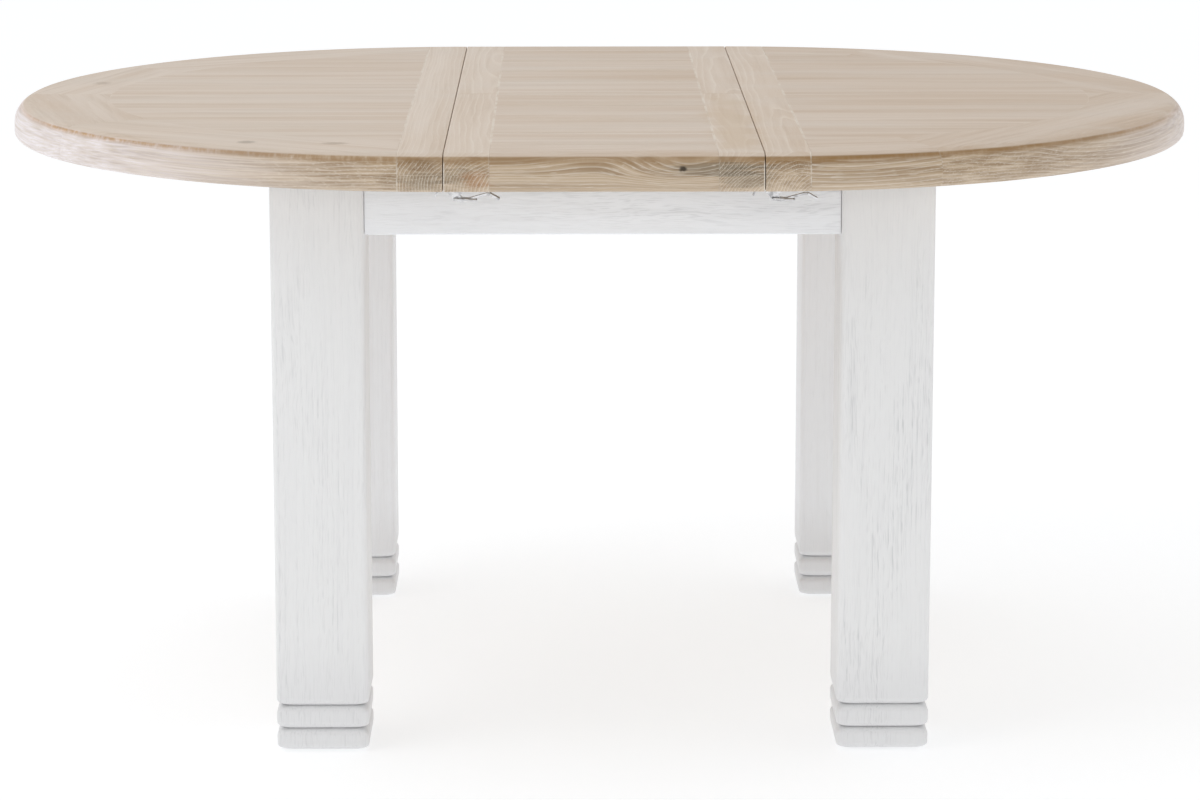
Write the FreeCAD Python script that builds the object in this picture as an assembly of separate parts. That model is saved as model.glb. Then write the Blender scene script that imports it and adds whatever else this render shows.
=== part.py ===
"""Round extending dining table with a two-part folding leaf, shown with the leaf in place.

Millimetres, +Z up.  X is the direction in which the two half tops slide apart, -Y is the
front.  The origin lies on the floor under the middle of the table.
"""
import FreeCAD, Part
import math
import os

os.makedirs("parts", exist_ok=True)
V = FreeCAD.Vector
X_AXIS = V(1, 0, 0)
Y_AXIS = V(0, 1, 0)
Z_AXIS = V(0, 0, 1)

# ---- driving dimensions of the top --------------------------------------------------------
RADIUS = 590.0            # radius of each half top
HEIGHT = 786.0            # floor to the top surface
LEAF_HALF = 193.0         # seam position, from the middle
SEAM_GAP = 0.5            # each side of a seam
FOLD_GAP = 0.4            # each side of the fold line between the two leaf halves
BOARD = 25.0              # thickness of the panels
EDGE = 46.0               # thickness of the built-up rim
LIP = 84.0                # width of the built-up rim
RIM_WIDTH = 126.0         # width of the curved rim band in plan
BAND = 55.0               # width of the cross bands beside the seams
NOSE_IN = 24.0            # rounding of the top edge, inwards
NOSE_DOWN = 28.0          # rounding of the top edge, downwards
UNDER_RADIUS = 9.0        # rounding of the bottom edge
RIM_JOINT_LEFT = 33.5     # rim joints lie at 0 and at this angle each side of the X axis
RIM_JOINT_RIGHT = 68.5

# ---- base ---------------------------------------------------------------------------------
LEG = 117.0               # square legs
LEG_X = 413.0             # outer faces of the legs
LEG_Y = 439.0
GLIDE_HEIGHT = 3.0
GLIDE_RADIUS = 24.0
GLIDE_EASE = 1.0
GLIDE_PIN = 4.0           # radius
GLIDE_PIN_LENGTH = 15.0
TOP_GAP = 1.0             # between the base and the rim above it
APRON_HEIGHT = 75.0
APRON_THICK = 25.0
APRON_SETBACK = 5.0       # aprons lie this far behind the leg faces
TENON_LENGTH = 40.0
APRON_SHADOW_GAP = 0.5    # open joint between an apron's shoulder and the leg
TENON_INSET = 6.0         # shoulder on each face of an apron
TENON_SHOULDER = 10.0     # shoulder above and below a tenon
ARRIS = 6.0               # rounding of the legs' long edges
GROOVE_ONE = 60.0         # height of the upper foot groove
GROOVE_TWO = 30.0         # height of the lower foot groove
GROOVE = 9.5              # depth of the foot grooves, and radius of their shoulders
FOOT_CHAMFER = 10.0

# ---- slides and leaf carriers -------------------------------------------------------------
RAIL_IN = 330.0           # inner face of the fixed rails
RAIL_THICK = 30.0
RAIL_DEEP = 64.0
GROOVE_DEEP = 10.0
RUNNER_THICK = 12.0
RUNNER_LOW = HEIGHT - 45  # underside of the runners, just above the legs
RUNNER_FIT = 0.3
CLEAT_GAP = 1.0           # between a runner's cleat and the rail beside it
RUNNER_OUT = 505.0        # outer ends of the runners
RUNNER_IN = 60.0          # how far the runners reach past the middle
RUNNER_INNER_EDGE = 302.0
RUNNER_OUTER_EDGE = 395.0
SLIDE_TRAVEL = 25.0
CLEAT_START = LEAF_HALF + 6
SCREW_X = (240.0, 340.0, 445.0)  # runner screws
SCREW_HEAD = 4.2
SCREW_HEAD_DEEP = 2.5
SCREW_SHANK = 2.2
SCREW_BITE = 14.0         # how far a runner screw enters the panel
STOP_SIZE = 8.0
STOP_HIGH = 18.0
STOP_OUTER_Y = 368.0      # near sides of the stop lugs
STOP_INNER_Y = 317.0
SCREW_OUTER_Y = 383.0
SCREW_INNER_Y = 315.0
BEARER_IN = 201.0         # inner faces of the two leaf bearers
BEARER_WIDE = 40.0
BEARER_LOW = HEIGHT - 108
BEARER_HIGH = HEIGHT - 68
PAD_THICK = 1.0
PAD_RADIUS = 9.0
PAD_X = 120.0
PIVOT_Y = -150.0
PIVOT_Z = HEIGHT - 42
PIN_RADIUS = 4.0
PIN_FIT = 0.05
PIN_START = 3.0           # how far the pin starts inside the bracket
PIN_SHORT = 0.3           # how far it stops short of the bearer
PLATE_THICK = 3.0
PLATE_HALF = 25.0
PLATE_LIFT = 6.0          # above the underside of a bearer
PLATE_SHORT = 5.0         # below the underside of the panel
BRACKET_X = 188.0         # inner face of the leaf bracket's upright
BRACKET_HALF = 18.0
BRACKET_DROP = 12.0       # below the pivot
FLANGE = 28.0

# ---- concealed leaf hinges ----------------------------------------------------------------
HINGE_X = (-125.0, 0.0, 125.0)
HINGE_AXIS_Z = HEIGHT + 0.5
ARC_IN = 8.2
ARC_OUT = 13.8
SLOT_CLEAR = 0.4
SLOT_START = 209.0        # degrees about the hinge axis, where each cup's slot ends
SLOT_END = 300.0
SLOT_HALF = 5.4
CUP_LINK_END = 326.0
LINK_START = 212.0
LINK_END = 328.0
LINK_ROOT = 3.0           # degrees that a cup's own link enters its cup
LINK_HALF = 1.5           # half thickness of a curved link
LINK_SHAKE = 0.4
CUP_DEEP = 20.0
CUP_LOW = HEIGHT - 18
CUP_HIGH = HEIGHT - 3
CUP_HALF = 8.0

# ---- draw latches, with u measured from the seam and w down from the underside ------------
LATCH_Y = 522.0
LATCH_PIVOT = (12.5, -9.5)
LATCH_NOSE = (12.0, -16.5)
BAIL_REACH = 26.4
BAIL_WIRE = 1.25
BAIL_HALF = 5.2           # centre line of the wire, either side
BAIL_CORNER = 2.0
BAIL_PARKED = -3.7        # degrees, along the lever
HOOK_LIP_HALF = 3.2       # narrower than the inside of the bail
LATCH_PIN = 1.5
RIVET_HALF = 9.5
PLATE_WIDE = 8.5          # half width of the base and hook plates
EAR_THIN = 0.75           # half thickness of an ear
EAR_SHIFT = 7.75
HUB_RADIUS = 4.0
HUB_HALF = 6.5
LEVER_HALF = 3.0
NOSE_RADIUS = 2.9
TIP_HALF = 7.0
BASE_PLATE = [(2, -2), (28, -2), (28, 0), (2, 0)]
EAR = [(3, -1), (5, -11), (8, -12.8), (17, -12.8), (26, -6), (27, -1)]
HOOK_PLATE = [(-30, -2), (-4, -2), (-4, 0), (-30, 0)]
HOOK_LIP = [(-4, -1), (-6, -1), (-12, -12.8), (-11.3, -14), (-10, -13.2)]
LEVER_CHEEK = [(8.9, -9.5), (9.2, -16.5), (12, -19.3), (22, -20.3), (23, -17.8), (16.5, -9.5)]
LEVER_ARM = [(20, -20), (22.5, -20.6), (51, -12.5), (55, -12.3), (66, -18), (67, -16.4),
             (55.5, -10), (51, -10), (22, -18)]
LEVER_TIP = [(54, -12.1), (66, -18), (67, -16.4), (55.5, -10)]

UNDER_BOARD = HEIGHT - BOARD
UNDER_EDGE = HEIGHT - EDGE
BASE_TOP = UNDER_EDGE - TOP_GAP
RAIL_OUT = RAIL_IN + RAIL_THICK
RAIL_HIGH = UNDER_BOARD - PAD_THICK
LEG_IN_X = LEG_X - LEG
LEG_IN_Y = LEG_Y - LEG
OVER = 1.0                # how far a cutting shape reaches past the wood


def save(name, shape):
    """Write one node as a STEP file."""
    shape.exportStep("parts/" + name + ".step")


def box(x0, x1, y0, y1, z0, z1):
    """A box between two corners."""
    return Part.makeBox(x1 - x0, y1 - y0, z1 - z0, V(x0, y0, z0))


def rod(radius, start, direction, length):
    """A round bar."""
    return Part.makeCylinder(radius, length, start, direction)


def prism(points, direction):
    """A straight prism over a closed polygon."""
    wire = Part.makePolygon(points + [points[0]])
    return Part.Face(wire).extrude(direction)


def group(solids):
    """Separate solids kept in one node."""
    return Part.makeCompound(solids)


def mirror_x(shape):
    """The same piece on the other side of the YZ plane."""
    return shape.mirror(V(0, 0, 0), X_AXIS)


def mirror_y(shape):
    """The same piece on the other side of the XZ plane."""
    return shape.mirror(V(0, 0, 0), Y_AXIS)


# ---- the half tops ------------------------------------------------------------------------
def edge_outline(reach, place):
    """The section of a top from its middle to its moulded edge, as a closed wire.

    place(distance, height) turns a distance from the middle into a point.
    """
    shoulder = reach - NOSE_IN
    nose_low = HEIGHT - NOSE_DOWN
    half = math.sqrt(0.5)
    nose = Part.Arc(
        place(shoulder, HEIGHT),
        place(shoulder + NOSE_IN * half, nose_low + NOSE_DOWN * half),
        place(reach, nose_low),
    ).toShape()
    under_mid = UNDER_RADIUS * (1 - half)
    under = Part.Arc(
        place(reach, UNDER_EDGE + UNDER_RADIUS),
        place(reach - under_mid, UNDER_EDGE + under_mid),
        place(reach - UNDER_RADIUS, UNDER_EDGE),
    ).toShape()
    wire = Part.Wire([
        Part.makeLine(place(0, HEIGHT), place(shoulder, HEIGHT)),
        nose,
        Part.makeLine(place(reach, nose_low), place(reach, UNDER_EDGE + UNDER_RADIUS)),
        under,
        Part.makeLine(place(reach - UNDER_RADIUS, UNDER_EDGE), place(0, UNDER_EDGE)),
        Part.makeLine(place(0, UNDER_EDGE), place(0, HEIGHT)),
    ])
    return Part.Face(wire)


def half_blank():
    """The whole right half top, turned about its own centre, before it is divided."""
    section = edge_outline(RADIUS, lambda d, z: V(LEAF_HALF, -d, z))
    return section.revolve(V(LEAF_HALF, 0, 0), Z_AXIS, 180)


def wedge(low, high):
    """A pie slice about the half top's centre, between two angles from the X axis."""
    reach = RADIUS * 1.5
    middle = (low + high) / 2
    points = [V(LEAF_HALF, 0, UNDER_EDGE - OVER)]
    for angle in (low, middle, high):
        turn = math.radians(angle)
        across = reach * math.cos(turn)
        points.append(V(LEAF_HALF + across, reach * math.sin(turn), UNDER_EDGE - OVER))
    return prism(points, V(0, 0, EDGE + 2 * OVER))


def half_top(joint):
    """Panel, cross band and four rim segments of a right half, as a dict.

    The rim joints lie at 0 and at the angle joint.
    """
    centre = V(LEAF_HALF, 0, UNDER_EDGE - OVER)
    recess = rod(RADIUS - LIP, centre, Z_AXIS, EDGE - BOARD + OVER)
    blank = half_blank().cut(recess)
    band_in = LEAF_HALF + SEAM_GAP
    band_out = band_in + BAND
    reach = RADIUS + OVER
    low, high = UNDER_EDGE - OVER, HEIGHT + OVER
    inner = rod(RADIUS - RIM_WIDTH, centre, Z_AXIS, EDGE + 2 * OVER)
    beyond_band = box(band_out, LEAF_HALF + reach, -reach, reach, low, high)
    pieces = {}
    pieces["band"] = blank.common(box(band_in, band_out, -reach, reach, low, high))
    pieces["panel"] = blank.common(inner).common(beyond_band)
    rim = blank.cut(inner).common(beyond_band)
    limits = (-90.0, -joint, 0.0, joint, 90.0)
    for index in range(4):
        segment = rim.common(wedge(limits[index], limits[index + 1]))
        pieces["rim_%d" % (index + 1)] = segment
    return pieces


def runner(inner_face, outer_face, cleat_in, cleat_out, stop_y):
    """A runner of the right half: a flat bar, a cleat up to the panel and a stop lug."""
    high = RUNNER_LOW + RUNNER_THICK
    bar = box(-RUNNER_IN, RUNNER_OUT, inner_face, outer_face, RUNNER_LOW, high)
    cleat = box(CLEAT_START, RUNNER_OUT, cleat_in, cleat_out, high, UNDER_BOARD)
    stop_x = LEG_IN_X - SLIDE_TRAVEL - RUNNER_FIT - STOP_SIZE
    low = RUNNER_LOW - STOP_HIGH
    lug = box(stop_x, stop_x + STOP_SIZE, stop_y, stop_y + STOP_SIZE * 1.5, low, RUNNER_LOW)
    return bar.fuse(cleat).fuse(lug).removeSplitter()


def runner_screws(y):
    """Three countersunk screws up through a runner, cut flush with its underside."""
    screws = []
    for x in SCREW_X:
        base = V(x, y, RUNNER_LOW)
        head = Part.makeCone(SCREW_HEAD, SCREW_SHANK, SCREW_HEAD_DEEP, base, Z_AXIS)
        shank = rod(SCREW_SHANK, base, Z_AXIS, UNDER_BOARD - RUNNER_LOW + SCREW_BITE)
        screws.append(head.fuse(shank).removeSplitter())
    return screws


# ---- the leaf -----------------------------------------------------------------------------
def leaf_half_front():
    """Panel, lip and two cross bands of the front half of the leaf, as a dict."""
    section = edge_outline(RADIUS, lambda d, z: V(-LEAF_HALF + SEAM_GAP, -d, z))
    blank = section.extrude(V(2 * (LEAF_HALF - SEAM_GAP), 0, 0))
    inner = RADIUS - LIP
    low, high = UNDER_EDGE - OVER, HEIGHT + OVER
    recess = box(-LEAF_HALF, LEAF_HALF, -inner, OVER, low, UNDER_BOARD)
    blank = blank.cut(recess)
    blank = blank.cut(box(-LEAF_HALF, LEAF_HALF, -FOLD_GAP, OVER, low, high))
    for x in HINGE_X:
        pocket = box(x - CUP_HALF, x + CUP_HALF, -CUP_DEEP, 0, CUP_LOW, CUP_HIGH)
        blank = blank.cut(pocket)
    side = LEAF_HALF - SEAM_GAP
    band_edge = side - BAND
    reach = RADIUS + OVER
    return {
        "panel": blank.common(box(-band_edge, band_edge, -inner, OVER, low, high)),
        "lip": blank.common(box(-band_edge, band_edge, -reach, -inner, low, high)),
        "left": blank.common(box(-side, -band_edge, -reach, OVER, low, high)),
        "right": blank.common(box(band_edge, side, -reach, OVER, low, high)),
    }


def arc_piece(x0, x1, start, end, inner, outer):
    """A curved bar about the hinge axis, between two angles measured in the YZ plane."""
    turn = end - start
    begin = math.radians(start)
    direction = V(0, math.cos(begin), math.sin(begin))
    origin = V(x0, 0, HINGE_AXIS_Z)
    wide = V(x1 - x0, 0, 0)
    inside = origin + direction * inner
    outside = origin + direction * outer
    face = Part.Face(Part.makePolygon([inside, outside, outside + wide, inside + wide, inside]))
    return face.revolve(origin, X_AXIS, turn)


def hinge_cup(x):
    """One cup of a concealed hinge in the front leaf half, with its own curved link."""
    body = box(x - CUP_HALF, x + CUP_HALF, -CUP_DEEP, -FOLD_GAP, CUP_LOW, CUP_HIGH)
    inner, outer = ARC_IN - SLOT_CLEAR, ARC_OUT + SLOT_CLEAR
    slot = arc_piece(x - SLOT_HALF, x + SLOT_HALF, SLOT_START, SLOT_END, inner, outer)
    near = LINK_HALF + LINK_SHAKE
    link_start = SLOT_START - LINK_ROOT
    link = arc_piece(x + near, x + near + 2 * LINK_HALF, link_start, CUP_LINK_END, ARC_IN, ARC_OUT)
    return body.cut(slot).fuse(link).removeSplitter()


def leaf_bracket(side):
    """A pressed angle under the leaf with its pivot pin, on the left (-1) or right (+1)."""
    near, far = PIVOT_Y - BRACKET_HALF, PIVOT_Y + BRACKET_HALF
    upright = box(BRACKET_X, BRACKET_X + PLATE_THICK, near, far, PIVOT_Z - BRACKET_DROP, UNDER_BOARD)
    flange = box(BRACKET_X - FLANGE, BRACKET_X, near, far, UNDER_BOARD - PLATE_THICK, UNDER_BOARD)
    pin_start = BRACKET_X - PIN_START
    pin = rod(PIN_RADIUS, V(pin_start, PIVOT_Y, PIVOT_Z), X_AXIS, BEARER_IN - PIN_SHORT - pin_start)
    bracket = upright.fuse(flange).fuse(pin).removeSplitter()
    if side < 0:
        return mirror_x(bracket)
    return bracket


def pivot_plate(side):
    """The plate on a bearer that carries the leaf's pivot pin."""
    plate = box(BEARER_IN - PLATE_THICK, BEARER_IN, PIVOT_Y - PLATE_HALF, PIVOT_Y + PLATE_HALF,
                BEARER_LOW + PLATE_LIFT, UNDER_BOARD - PLATE_SHORT)
    bore_start = V(BEARER_IN - PLATE_THICK - OVER, PIVOT_Y, PIVOT_Z)
    bore = rod(PIN_RADIUS + PIN_FIT, bore_start, X_AXIS, PLATE_THICK + 2 * OVER)
    plate = plate.cut(bore)
    if side < 0:
        return mirror_x(plate)
    return plate


# ---- the base -----------------------------------------------------------------------------
def foot_profile():
    """Half outline of a leg from the floor up, as points and arcs on the XZ plane."""
    half = LEG / 2
    neck = half - GROOVE
    low = GLIDE_HEIGHT
    k = GROOVE * math.sqrt(0.5)

    def shoulders(side, height):
        """The rounded shoulder below a groove and the one above it."""
        below = Part.Arc(V(side * half, 0, height - GROOVE),
                         V(side * (neck + k), 0, height - GROOVE + k),
                         V(side * neck, 0, height)).toShape()
        above = Part.Arc(V(side * neck, 0, height),
                         V(side * (neck + k), 0, height + GROOVE - k),
                         V(side * half, 0, height + GROOVE)).toShape()
        return below, above

    def line(side, h0, z0, h1, z1):
        """A straight edge of the outline."""
        return Part.makeLine(V(side * h0, 0, z0), V(side * h1, 0, z1))

    edges = []
    for side in (1, -1):
        below_two, above_two = shoulders(side, GROOVE_TWO)
        below_one, above_one = shoulders(side, GROOVE_ONE)
        edges += [
            line(side, half - FOOT_CHAMFER, low, half, low + FOOT_CHAMFER),
            line(side, half, low + FOOT_CHAMFER, half, GROOVE_TWO - GROOVE),
            below_two,
            above_two,
            line(side, half, GROOVE_TWO + GROOVE, half, GROOVE_ONE - GROOVE),
            below_one,
            above_one,
            line(side, half, GROOVE_ONE + GROOVE, half, BASE_TOP),
        ]
    edges.append(Part.makeLine(V(half, 0, BASE_TOP), V(-half, 0, BASE_TOP)))
    edges.append(Part.makeLine(V(FOOT_CHAMFER - half, 0, low), V(half - FOOT_CHAMFER, 0, low)))
    return Part.Wire(Part.__sortEdges__(edges))


def leg(centre_x, centre_y):
    """A square leg with two carved grooves round its foot."""
    half = LEG / 2
    face = Part.Face(foot_profile())
    along_y = face.copy()
    along_y.translate(V(0, -half, 0))
    along_y = along_y.extrude(V(0, LEG, 0))
    along_x = along_y.copy()
    along_x.rotate(V(0, 0, 0), Z_AXIS, 90)
    shaft = box(-half, half, -half, half, 0, BASE_TOP)
    corners = [edge for edge in shaft.Edges if abs(edge.tangentAt(edge.FirstParameter).z) > 0.9]
    shaft = shaft.makeFillet(ARRIS, corners)
    piece = along_y.common(along_x).common(shaft)
    piece = piece.cut(rod(GLIDE_PIN, V(0, 0, 0), Z_AXIS, GLIDE_HEIGHT + GLIDE_PIN_LENGTH))
    piece.translate(V(centre_x, centre_y, 0))
    return piece


def glide(centre_x, centre_y):
    """A nylon glide with its pin, under a leg."""
    centre = V(centre_x, centre_y, 0)
    disc = rod(GLIDE_RADIUS, centre, Z_AXIS, GLIDE_HEIGHT)
    pin = rod(GLIDE_PIN, centre, Z_AXIS, GLIDE_HEIGHT + GLIDE_PIN_LENGTH)
    rim = [edge for edge in disc.Edges if edge.Closed and edge.Vertexes[0].Z < GLIDE_HEIGHT / 2]
    return disc.makeFillet(GLIDE_EASE, rim).fuse(pin).removeSplitter()


def apron_board(length, outer_face):
    """An apron along X with a tenon at each end, on the front side."""
    low = BASE_TOP - APRON_HEIGHT
    half = length / 2
    shoulder = half - APRON_SHADOW_GAP
    board = box(-shoulder, shoulder, -outer_face, -outer_face + APRON_THICK, low, BASE_TOP)
    reach = half + TENON_LENGTH
    tenon = box(-reach, reach, -outer_face + TENON_INSET, -outer_face + APRON_THICK - TENON_INSET,
                low + TENON_SHOULDER, BASE_TOP - TENON_SHOULDER)
    return board.fuse(tenon).removeSplitter()


def rail():
    """The front fixed rail, grooved on both faces for the runners."""
    body = box(-LEG_IN_X, LEG_IN_X, RAIL_IN, RAIL_OUT, RAIL_HIGH - RAIL_DEEP, RAIL_HIGH)
    low = RUNNER_LOW - RUNNER_FIT
    high = RUNNER_LOW + RUNNER_THICK + RUNNER_FIT
    body = body.cut(box(-LEG_IN_X, LEG_IN_X, RAIL_IN - OVER, RAIL_IN + GROOVE_DEEP, low, high))
    body = body.cut(box(-LEG_IN_X, LEG_IN_X, RAIL_OUT - GROOVE_DEEP, RAIL_OUT + OVER, low, high))
    return mirror_y(body)


def bearer():
    """The right leaf bearer, housed between the two rails."""
    return box(BEARER_IN, BEARER_IN + BEARER_WIDE, -RAIL_IN, RAIL_IN, BEARER_LOW, BEARER_HIGH)


# ---- draw latches -------------------------------------------------------------------------
def latch_point(seam, y, u, w):
    """A point of a latch: u from the seam, w down from the underside of the top."""
    return V(seam + u, y, UNDER_EDGE + w)


def latch_plate(seam, y, outline, half):
    """A flat latch part: a polygon in the XZ plane, widened along Y."""
    points = [latch_point(seam, y - half, u, w) for u, w in outline]
    return prism(points, V(0, 2 * half, 0))


def latch_base(seam, y):
    """The channel-shaped base of a latch with its pivot rivet and two screws."""
    u, w = LATCH_PIVOT
    base = latch_plate(seam, y, BASE_PLATE, PLATE_WIDE)
    ear = latch_plate(seam, y, EAR, EAR_THIN)
    for shift in (-EAR_SHIFT, EAR_SHIFT):
        side = ear.copy()
        side.translate(V(0, shift, 0))
        base = base.fuse(side)
    rivet = rod(LATCH_PIN, latch_point(seam, y - RIVET_HALF, u, w), Y_AXIS, 2 * RIVET_HALF)
    return base.fuse(rivet).removeSplitter()


def latch_hook(seam, y):
    """The hook plate of a latch, with its lip leaning away from the seam."""
    plate = latch_plate(seam, y, HOOK_PLATE, PLATE_WIDE)
    lip = latch_plate(seam, y, HOOK_LIP, HOOK_LIP_HALF)
    return plate.fuse(lip).removeSplitter()


def latch_lever(seam, y):
    """The lever: a cheek round the pivot, a nose that holds the bail, and a long thin arm."""
    pu, pw = LATCH_PIVOT
    nu, nw = LATCH_NOSE
    hub = rod(HUB_RADIUS, latch_point(seam, y - HUB_HALF, pu, pw), Y_AXIS, 2 * HUB_HALF)
    nose = rod(NOSE_RADIUS, latch_point(seam, y - LEVER_HALF, nu, nw), Y_AXIS, 2 * LEVER_HALF)
    cheek = latch_plate(seam, y, LEVER_CHEEK, LEVER_HALF)
    arm = latch_plate(seam, y, LEVER_ARM, LEVER_HALF)
    tip = latch_plate(seam, y, LEVER_TIP, TIP_HALF)
    lever = hub.fuse(nose).fuse(cheek).fuse(arm).fuse(tip)
    start = y - RIVET_HALF
    pivot_bore = rod(LATCH_PIN + PIN_FIT, latch_point(seam, start, pu, pw), Y_AXIS, 2 * RIVET_HALF)
    nose_bore = rod(BAIL_WIRE + PIN_FIT, latch_point(seam, start, nu, nw), Y_AXIS, 2 * RIVET_HALF)
    return lever.cut(pivot_bore).cut(nose_bore).removeSplitter()


def latch_bail(seam, y):
    """The closed wire loop that reaches over the hook, parked along the lever."""
    nu, nw = LATCH_NOSE
    turn = math.radians(BAIL_PARKED)
    along = V(math.cos(turn), 0, math.sin(turn))
    across = V(0, 1, 0)
    start = latch_point(seam, y, nu, nw)
    middle = start + along * (BAIL_REACH / 2)
    straight_along = BAIL_REACH / 2 - BAIL_CORNER
    straight_across = BAIL_HALF - BAIL_CORNER
    bend = BAIL_CORNER * math.sqrt(0.5)
    edges = []
    for side_a, side_b in ((1, 1), (-1, 1), (-1, -1), (1, -1)):
        centre = middle + along * (side_a * straight_along) + across * (side_b * straight_across)
        ends = [centre + along * (side_a * BAIL_CORNER), centre + across * (side_b * BAIL_CORNER)]
        if side_a * side_b < 0:
            ends.reverse()
        mid = centre + along * (side_a * bend) + across * (side_b * bend)
        edges.append(Part.Arc(ends[0], mid, ends[1]).toShape())
    path = []
    for index, arc in enumerate(edges):
        following = edges[(index + 1) % len(edges)]
        path.append(arc)
        path.append(Part.makeLine(arc.Vertexes[-1].Point, following.Vertexes[0].Point))
    wire = Part.Wire(path)
    first = edges[0].Vertexes[0].Point
    section = Part.Wire(Part.makeCircle(BAIL_WIRE, first, across))
    return wire.makePipeShell([section], True, True)


def cut_screws(piece, screws):
    """Take the holes of back and front screws out of a piece that they enter."""
    for screw in screws + [mirror_y(s) for s in screws]:
        if piece.BoundBox.intersect(screw.BoundBox):
            piece = piece.cut(screw)
    return piece


def make_top():
    """Both half tops with their runners and screws."""
    right_pieces = half_top(RIM_JOINT_RIGHT)
    left_pieces = half_top(RIM_JOINT_LEFT)
    outer = runner(RAIL_OUT - GROOVE_DEEP + RUNNER_FIT, RUNNER_OUTER_EDGE,
                   RAIL_OUT + CLEAT_GAP, RUNNER_OUTER_EDGE, STOP_OUTER_Y)
    inner = runner(RUNNER_INNER_EDGE, RAIL_IN + GROOVE_DEEP - RUNNER_FIT,
                   RUNNER_INNER_EDGE, RAIL_IN - CLEAT_GAP, STOP_INNER_Y)
    outer_screws = runner_screws(SCREW_OUTER_Y)
    inner_screws = runner_screws(SCREW_INNER_Y)
    for name, piece in right_pieces.items():
        save(name + "_right", cut_screws(piece, outer_screws))
    for screw in outer_screws:
        outer = outer.cut(screw)
    save("runner_right_back", outer)
    save("runner_right_front", mirror_y(outer))
    save("runner_screws_right", group(outer_screws + [mirror_y(s) for s in outer_screws]))
    for name, piece in left_pieces.items():
        save(name + "_left", mirror_x(cut_screws(piece, inner_screws)))
    for screw in inner_screws:
        inner = inner.cut(screw)
    left_back = mirror_x(inner)
    save("runner_left_back", left_back)
    save("runner_left_front", mirror_y(left_back))
    left_screws = [mirror_x(s) for s in inner_screws]
    save("runner_screws_left", group(left_screws + [mirror_y(s) for s in left_screws]))


def make_leaf():
    """Both leaf halves, their hinges and their pivot brackets."""
    front = leaf_half_front()
    for part, piece in front.items():
        save("leaf_" + part + "_front", piece)
        save("leaf_" + part + "_back", mirror_y(piece))
    cups = [hinge_cup(x) for x in HINGE_X]
    save("hinge_cups_front", group(cups))
    back_cups = []
    for x in HINGE_X:
        cup = hinge_cup(x)
        cup.rotate(V(x, 0, 0), Z_AXIS, 180)
        back_cups.append(cup)
    save("hinge_cups_back", group(back_cups))
    links = []
    for x in HINGE_X:
        links.append(arc_piece(x - LINK_HALF, x + LINK_HALF, LINK_START, LINK_END, ARC_IN, ARC_OUT))
    save("hinge_links", group(links))
    save("leaf_brackets", group([leaf_bracket(-1), leaf_bracket(1)]))
    save("pivot_plates", group([pivot_plate(-1), pivot_plate(1)]))


def make_base():
    """Legs, aprons, rails, bearers, pads and glides."""
    centre_x = LEG_X - LEG / 2
    centre_y = LEG_Y - LEG / 2
    front = apron_board(2 * LEG_IN_X, LEG_Y - APRON_SETBACK)
    side = apron_board(2 * LEG_IN_Y, LEG_X - APRON_SETBACK)
    side.rotate(V(0, 0, 0), Z_AXIS, 90)
    aprons = {
        "apron_front": front,
        "apron_back": mirror_y(front),
        "apron_right": side,
        "apron_left": mirror_x(side),
    }
    for name, board in aprons.items():
        save(name, board)
    glides = []
    for sx, x_name in ((-1, "left"), (1, "right")):
        for sy, y_name in ((-1, "front"), (1, "back")):
            post = leg(sx * centre_x, sy * centre_y)
            for board in aprons.values():
                post = post.cut(board)
            save("leg_" + y_name + "_" + x_name, post)
            glides.append(glide(sx * centre_x, sy * centre_y))
    save("floor_glides", group(glides))
    front_rail = rail()
    save("rail_front", front_rail)
    save("rail_back", mirror_y(front_rail))
    save("bearer_right", bearer())
    save("bearer_left", mirror_x(bearer()))
    pads = []
    for x in (-PAD_X, PAD_X):
        for y in (-(RAIL_IN + RAIL_OUT) / 2, (RAIL_IN + RAIL_OUT) / 2):
            pads.append(rod(PAD_RADIUS, V(x, y, RAIL_HIGH), Z_AXIS, PAD_THICK))
    save("leaf_pads", group(pads))


def make_latches():
    """Four draw latches: bases on the leaf at the left seam, on the half top at the right."""
    seams = {"left": -LEAF_HALF, "right": LEAF_HALF}
    sides = {"front": -LATCH_Y, "back": LATCH_Y}
    for seam_name, seam in seams.items():
        for side_name, y in sides.items():
            tail = "_" + side_name + "_" + seam_name
            save("latch_lever" + tail, latch_lever(seam, y))
            save("latch_bail" + tail, latch_bail(seam, y))
    for side_name, y in sides.items():
        save("latch_base_" + side_name, latch_base(-LEAF_HALF, y))
        save("latch_hook_" + side_name, latch_hook(LEAF_HALF, y))
    save("latch_bases_right", group([latch_base(LEAF_HALF, y) for y in sides.values()]))
    save("latch_hooks_left", group([latch_hook(-LEAF_HALF, y) for y in sides.values()]))


make_top()
make_leaf()
make_base()
make_latches()
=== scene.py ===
"""A round extending dining table with its folding leaf in place: surfaces, finishes, light and camera."""
import logging
import math
import random
from dataclasses import dataclass, field
from enum import Enum
from typing import Callable, Sequence

import bpy
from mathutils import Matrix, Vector, noise


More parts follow.
